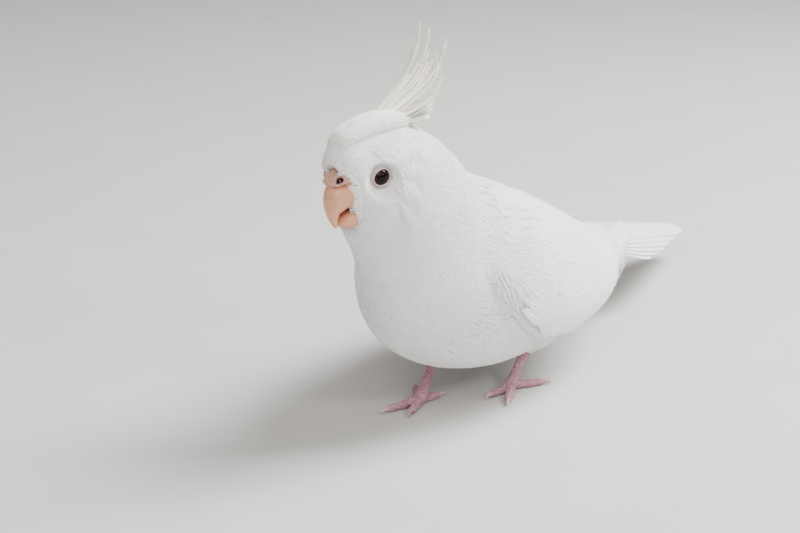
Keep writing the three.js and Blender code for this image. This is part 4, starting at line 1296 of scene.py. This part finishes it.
across_head = in_head(0, 1, 0) - in_head(0, 0, 0)
cores, strand_spines, strand_normals, strand_widths = [], [], [], []
for k, (root, tip, aside, width, spread, share) in enumerate(PLUMES):
    local = np.random.default_rng(300 + k)
    rise, run, left = tip[1] - root[1], tip[0] - root[0], aside + spread
    ends = [in_head(root[0], spread * 0.8, root[1]),
            in_head(root[0] + run * 0.45, left * 0.6, root[1] + rise * 0.25 + 1.5),
            in_head(root[0] + run * 0.98, left, root[1] + rise * 0.5),
            in_head(tip[0], left, tip[1])]
    whole = share == 1
    at, way = bezier(ends, steps(30 if whole else 15, 1.3) * 0.97 * share)
    face = unit(-np.cross(way, across_head))
    cores.append(vane(at, face, width * 0.5, arch=0.2, thick=0.22, rounded=0.6, root=0.6,
                      across=7 if whole else 5, seed=500 + k))
    count = int(10 + 3 * width) if whole else 9
    for j in range(count):
        v = mix(-1, 1, (j + 0.5) / count) + local.normal(0, 0.06)
        begin = local.uniform(0.0, 0.45) * share
        end = (local.uniform(0.78, 1.0) - 0.06 * abs(v)) * share
        t = np.linspace(begin, end, 13)
        at, way = bezier(ends, t)
        face = unit(-np.cross(way, across_head))
        sideways = np.cross(face, way)
        open_up = np.sin(np.clip((t - begin) / (1.02 - begin), 0, 1) * np.pi * 0.55) ** 0.9
        close = 1 - 0.55 * np.clip((t / share - 0.6) / 0.4, 0, 1) ** 1.5
        reach = width * 0.5 * v * open_up * close
        lift = local.normal(0, 0.35) + 0.5 * local.normal() * t ** 2
        strand_spines.append(at + sideways * reach[:, None] + face * (lift * open_up)[:, None])
        strand_normals.append(face)
        taper = np.interp(np.linspace(0, 1, 13), [0, 0.3, 0.8, 1], [0.5, 1, 0.7, 0.1])
        strand_widths.append(local.uniform(0.3, 0.5) * taper)
stray, _ = bezier([in_head(13.0, 0.6, 7.6), in_head(10, 0.8, 14), in_head(8.5, 0.9, 18),
                   in_head(4.0, 1.0, 21.5)], np.linspace(0, 1, 13))
for j in range(5):
    strand_spines.append(stray + np.linspace(0, 1, 13)[:, None] * rng.normal(0, 0.7, 3))
    strand_normals.append(strand_normals[0])
    strand_widths.append(0.34 * np.linspace(1, 0.15, 13))
points, faces = blades(np.array(strand_spines), np.array(strand_normals), np.array(strand_widths))
strands = (points, faces, {"Vane": np.full((len(points), 2), 0.3)})
points, faces, maps = merged(cores + [strands])
finished("crest_plumes", points, faces, maps, "flight_feathers", ("crest",), cream)
print("crest", len(PLUMES), "plumes,", made["crest_plumes"], "triangles")

# The crown's low pad under the crest wears its own short coat.
pad = lambda a, b: on_sections(CREST_PAD, a, b)
pad_way = frame_of(pad, np.array([2.0]), np.array([0.0]))[1][0][2]
coat("coat_crown", pad, (0.05, 5.8), (-1.9, 1.9), 1.6,
     lambda a, b: (4.5 + 1.2 * a, 0.40 + 0 * a, 0.7 + 0 * a,
                   0.05 + 0.2 * a - 1.2 * (np.abs(b) / 1.9) ** 3),
     lambda a, b: np.stack([0.5 + b / 12, 0.01 + a / 100], -1), 4, 0.2, 4,
     lambda a, b, p: ~bare(p), None, float(np.sign(pad_way)), 90000, crown)

# %% [markdown]
# The bill is two horny shells, the upper hooked far over the lower, with a fleshy cere at
# its root. The cere swells round each nostril, which is a pit, and the pit's colour is painted
# shade, near black. They are finer lofts of the head's own sections.

# %% Bill, cere and tongue
def outwards_of(points, rings, columns):
    """Unit normals of a loft's grid, pointing away from its middle."""
    grid = points[:rings * columns].reshape(rings, columns, 3)
    along = np.gradient(grid, axis=0)
    round_ = np.roll(grid, -1, 1) - np.roll(grid, 1, 1)
    normal = unit(np.cross(along, round_))
    away = grid - grid.mean(1, keepdims=True)
    return grid, normal * np.sign((normal * away).sum())


def nostril_mask(grid):
    """1 inside a nostril's pit, 0 beyond its rim, by the distance from the pit's middle: where the cere's colour gets
    painted shade.
    """
    d = np.min([np.linalg.norm(grid - c, axis=-1) - np.linalg.norm(grid - c, axis=-1).min()
                for c in NOSTRIL], axis=0)
    return 1 - smooth((d - 0.55) / 0.45)


def head_loft(name, sections, rows, columns, paint, slot, stands_for, shape=None):
    """A loft of head sections, evenly divided from root to tip, then shaped."""
    places = (len(sections) - 1) * np.linspace(0, 1, rows)
    a, b = np.meshgrid(places, np.linspace(0, 2 * np.pi, columns, False), indexing="ij")
    square = {"bill_upper_horn": -1, "bill_lower_horn": 1}.get(name, 0)
    points, faces = tube(on_sections(sections, a, b, square))
    grid, normal = outwards_of(points, rows, columns)
    maps = None
    if name == "cere_skin":
        mask = np.append(nostril_mask(grid).ravel(), [0, 0])
        maps = {"Pit": np.stack([mask, 0 * mask], -1)}
    if shape:
        grid = grid + normal * shape(grid, a, b)[..., None]
        points[:rows * columns] = grid.reshape(-1, 3)
        points[-2:] = [grid[0].mean(0), grid[-1].mean(0)]
    finished(name, points, faces, maps, slot, stands_for, paint)


def bill_growth(grid, a, b):
    """Faint growth lines round the horn and a low ridge along its top."""
    return 0.035 * np.sin(a * 17) + 0.10 * np.exp(-(np.sin(b / 2) / 0.12) ** 2)


NOSTRIL = [in_head(15.9, left, 0.1) for left in (5.2, -5.2)]


def cere_swell(grid, a, b):
    """A rim 1.3 mm out from each nostril, a pit inside it, and soft creases."""
    rise = 0.07 * np.sin(a * 9 + np.sin(b * 3)) * np.sin(b * 5 + a)
    for centre in NOSTRIL:
        d = np.linalg.norm(grid - centre, axis=-1)
        near = np.abs(d - d.min())
        rise = rise + 0.5 * np.exp(-((near - 1.3) / 0.45) ** 2)
        rise = rise - 2.0 * (1 - smooth(near / 1.0))
    return rise


head_loft("bill_upper_horn", UPPER_BILL, 90, 96, horn, "horn", ("bill_upper",), bill_growth)
head_loft("bill_lower_horn", LOWER_BILL, 50, 72, horn, "horn", ("bill_lower",))
# Painted shade: the cere's colour is mixed to near black inside each nostril's pit.
tree = cere_skin.node_tree
pit = map_across(tree, "Pit")
shader = tree.nodes["Principled BSDF"]
flesh = shader.inputs["Base Color"].links[0].from_socket
dark = node(tree, "ShaderNodeMix", {0: pit, 6: flesh, 7: (0.010, 0.004, 0.004, 1)},
            data_type="RGBA")
tree.links.new(dark.outputs[2], shader.inputs["Base Color"])
head_loft("cere_skin", CERE, 90, 120, cere_skin, "cere_skin", ("cere",), cere_swell)
head_loft("tongue_skin", TONGUE, 30, 36, mouth, "mouth", ("tongue",))

# %% [markdown]
# The eye is a wet, glossy ball, nearly black, with a dark ruby iris round the pupil. Its
# own map is the distance from the line of sight.

# %% Eyes
eye_paint, tree, shader = new_material("eye", 0.04)
shader.inputs["Specular IOR Level"].default_value = 0.12
iris = map_across(tree, "Iris")
spokes = node(tree, "ShaderNodeTexNoise",
              {"Vector": node(tree, "ShaderNodeTexCoord").outputs["Object"], "Scale": 1400.0})
ringed = maths(tree, "ADD", iris, maths(tree, "MULTIPLY", spokes.outputs[0], 0.06))
ramp = node(tree, "ShaderNodeValToRGB", {0: ringed})
ramp.color_ramp.elements[0].position = 0.56
ramp.color_ramp.elements[0].color = (0.004, 0.002, 0.003, 1)
ramp.color_ramp.elements[1].position = 0.66
ramp.color_ramp.elements[1].color = (0.028, 0.007, 0.006, 1)
rim = ramp.color_ramp.elements.new(0.86)
rim.color = (0.018, 0.006, 0.006, 1)
tree.links.new(ramp.outputs[0], shader.inputs["Base Color"])

for name, side in SIDES.items():
    centre, facing = EYES[name]
    aside = np.cross(facing, UP)
    aside /= np.linalg.norm(aside)
    above = np.cross(aside, facing)
    polar, round_ = np.meshgrid(np.linspace(0.02, np.pi - 0.02, 40),
                                np.linspace(0, 2 * np.pi, 64, False), indexing="ij")
    bulge = 1 + 0.035 * np.exp(-(polar / 0.55) ** 2)
    rings = centre + EYE_RADIUS * bulge[..., None] * (
        np.cos(polar)[..., None] * facing + np.sin(polar)[..., None]
        * (np.cos(round_)[..., None] * aside + np.sin(round_)[..., None] * above))
    points, faces = tube(rings)
    radius = np.where(polar < np.pi / 2, np.sin(polar), 1.2).reshape(-1)
    chart = np.stack([np.append(radius, [0, 1.2]), np.zeros(len(points))], -1)
    finished(f"eyeball_{name}", points, faces, {"Iris": chart}, "eye", (f"eye_{name}",),
             eye_paint)

# %% [markdown]
# A parrot's foot has two toes forward and two back, with fleshy pads and small plates of
# skin. Toes, palm and shank are limbs of changing radius. Toes and palm are run together by
# a fine remesh, then flattened where they bear on the floor.

# %% Legs, feet and claws
TOES = {"inner_front": (-12, 12.5), "outer_front": (22, 16), "outer_back": (142, 13.5),
        "inner_back": (-160, 9)}


def limb(stops, rows=40, columns=28, waves=0.0, count=10):
    """A tube through (centre, radius) stops, with rounded ends and a train of low rings."""
    centres = np.array([s[0] for s in stops], float)
    k = np.linspace(0, len(stops) - 1, rows)
    centre = np.stack([between(centres[:, i], k) for i in range(3)], -1)
    radius = between([s[1] for s in stops], k)
    ahead = unit(np.gradient(centre, axis=0))
    helper = np.array([0.0, 1.0, 0.0]) if abs(ahead[0][1]) < 0.8 else np.array([1.0, 0, 0])
    first = unit(np.cross(ahead, helper))
    second = np.cross(ahead, first)
    radius = radius * (1 + waves * np.sin(k / k[-1] * 2 * np.pi * count))
    cap = 4
    ease = np.sqrt(1 - ((np.arange(cap) + 0.7) / cap) ** 2 * 0.98)
    t = np.linspace(0, 2 * np.pi, columns, False)
    ring = lambda c, r, f, s: c + r * (np.cos(t)[:, None] * f + np.sin(t)[:, None] * s)
    start = [ring(centre[0] - ahead[0] * radius[0] * (i + 0.7) / cap, radius[0] * ease[i],
                  first[0], second[0]) for i in reversed(range(cap))]
    body_rings = [ring(centre[i], radius[i], first[i], second[i]) for i in range(rows)]
    end = [ring(centre[-1] + ahead[-1] * radius[-1] * (i + 0.7) / cap, radius[-1] * ease[i],
                first[-1], second[-1]) for i in range(cap)]
    return tube(np.array(start + body_rings + end))


for name, (foot, ankle) in LEGS.items():
    side = SIDES[name]
    foot, ankle = np.array(foot, float), np.array(ankle, float)
    palm = foot + [0, 0, 2.6]
    shin = ankle - palm
    far = np.linalg.norm(shin)
    shin /= far
    points, faces = limb([(palm + shin * 1.6, 2.5), (palm + shin * 5, 2.0),
                          (palm + shin * (far - 7), 2.0), (palm + shin * (far - 3.5), 2.6),
                          (palm + shin * (far + 0.5), 2.6)], 60, 32, 0.035, 9)
    finished(f"shank_skin_{name}", points, faces, None, "leg_skin", (f"shank_{name}",), leg_skin)
    parts = [limb([(palm - [0, 0, 0.1], 2.7), (palm + [0, 0, 0.3], 2.75)], 6, 32)]
    for toe, (angle, length) in TOES.items():
        turn = math.radians(angle)
        ahead = np.array([-math.cos(turn), side * math.sin(turn), 0])
        at = lambda mm, high: foot + ahead * mm + [0, 0, high]
        parts.append(limb([(at(-1.5, 2.3), 1.9), (at(length * 0.28, 1.9), 1.86),
                           (at(length * 0.42, 1.6), 1.56), (at(length * 0.6, 1.55), 1.8),
                           (at(length * 0.76, 1.45), 1.45), (at(length * 0.9, 1.45), 1.6),
                           (at(length, 1.45), 1.15)], 60, 24, 0.03, 8))
        out = length + 0.3
        points, faces = limb([(at(out - 1.0, 1.55), 0.95), (at(out + 1.6, 1.6), 0.82),
                              (at(out + 3.1, 1.2), 0.55), (at(out + 4.0, 0.65), 0.2)], 40, 20)
        points[:, 2] = np.maximum(points[:, 2], 0.05)
        finished(f"claw_horn_{name}_{toe}", points, faces, None, "horn",
                 (f"claw_{name}_{toe}",), claw_horn)
    points, faces, _ = merged(parts)
    sole = finished(f"foot_skin_{name}", points, faces, None, "leg_skin", (f"foot_{name}",))
    applied(sole, ("REMESH", dict(mode="VOXEL", voxel_size=0.3 * MM)),
            ("SMOOTH", dict(factor=0.5, iterations=4)))
    co = np.empty(len(sole.data.vertices) * 3)
    sole.data.vertices.foreach_get("co", co)
    co = co.reshape(-1, 3)
    co[:, 2] = np.maximum(co[:, 2], 0)
    sole.data.vertices.foreach_set("co", co.ravel())
    sole.data.polygons.foreach_set("use_smooth", np.ones(len(sole.data.polygons), bool))
    sole.data.materials.clear()
    sole.data.materials.append(leg_skin)

# %% [markdown]
# The bird stands on a pale plain floor. A broad cool window lights it from above on the
# camera's right, a weaker warm light comes from the camera's side, and a small one puts the
# glint in the eye. The camera keeps the photograph's view.

# %% Floor, lights and camera
bpy.ops.mesh.primitive_plane_add(size=6, location=(0, 0, 0))
floor = bpy.context.object
floor.name = "floor"
floor_paint, tree, shader = new_material("floor", 0.85)
mottle = node(tree, "ShaderNodeTexNoise",
              {"Vector": node(tree, "ShaderNodeTexCoord").outputs["Object"], "Scale": 30.0})
pale = node(tree, "ShaderNodeMix", {0: mottle.outputs[0], 6: (0.50, 0.49, 0.47, 1),
                                    7: (0.55, 0.54, 0.52, 1)}, data_type="RGBA")
tree.links.new(pale.outputs[2], shader.inputs["Base Color"])
floor.data.materials.append(floor_paint)
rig.stage(floor)


def area_light(name, place, aim, size, power, colour):
    light = bpy.data.lights.new(name, "AREA")
    light.size, light.energy, light.color = size, power, colour
    obj = bpy.data.objects.new(name, light)
    obj.location = place
    obj.rotation_euler = (Vector(aim) - Vector(place)).to_track_quat("-Z", "Y").to_euler()
    bpy.context.scene.collection.objects.link(obj)


area_light("window", (0.42, -0.50, 0.95), (0, 0, 0.07), 0.6, 42.0, (0.97, 0.985, 1.0))
area_light("front", (-0.9, -0.35, 0.75), (-0.05, 0, 0.09), 0.7, 8.0, (1.0, 0.97, 0.94))
area_light("glint", (-0.35, -0.75, 0.55), (-0.06, 0, 0.1), 0.12, 2.4, (1.0, 1.0, 1.0))
world = bpy.data.worlds.new("studio")
world.use_nodes = True
world.node_tree.nodes["Background"].inputs[0].default_value = (1.0, 0.97, 0.94, 1)
world.node_tree.nodes["Background"].inputs[1].default_value = 0.5
bpy.context.scene.world = world

camera = bpy.data.objects.new("camera", bpy.data.cameras.new("camera"))
camera.data.lens, camera.data.sensor_width = 85, 36
azimuth, rise = math.radians(-60), math.radians(17)
back = Vector((math.sin(azimuth) * math.cos(rise), -math.cos(azimuth) * math.cos(rise),
               math.sin(rise)))
right = Vector((math.cos(azimuth), math.sin(azimuth), 0))
turn = Matrix((right, back.cross(right), back)).transposed().to_4x4()
place = (np.array([-618.6, -331.95, 269.97]) + STEP) * MM
camera.matrix_world = Matrix.Translation(Vector(place)) @ turn
bpy.context.scene.collection.objects.link(camera)
bpy.context.scene.camera = camera

# %% Size and finish
seen_box = [list(corner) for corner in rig.bounds()]
with open("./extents.json", "w") as handle:
    json.dump({"cad": cad_box, "visual": seen_box}, handle)
print("triangles in all:", sum(made.values()))
print("cad box", [[round(v, 4) for v in c] for c in cad_box])
print("visual box", [[round(v, 4) for v in c] for c in seen_box])
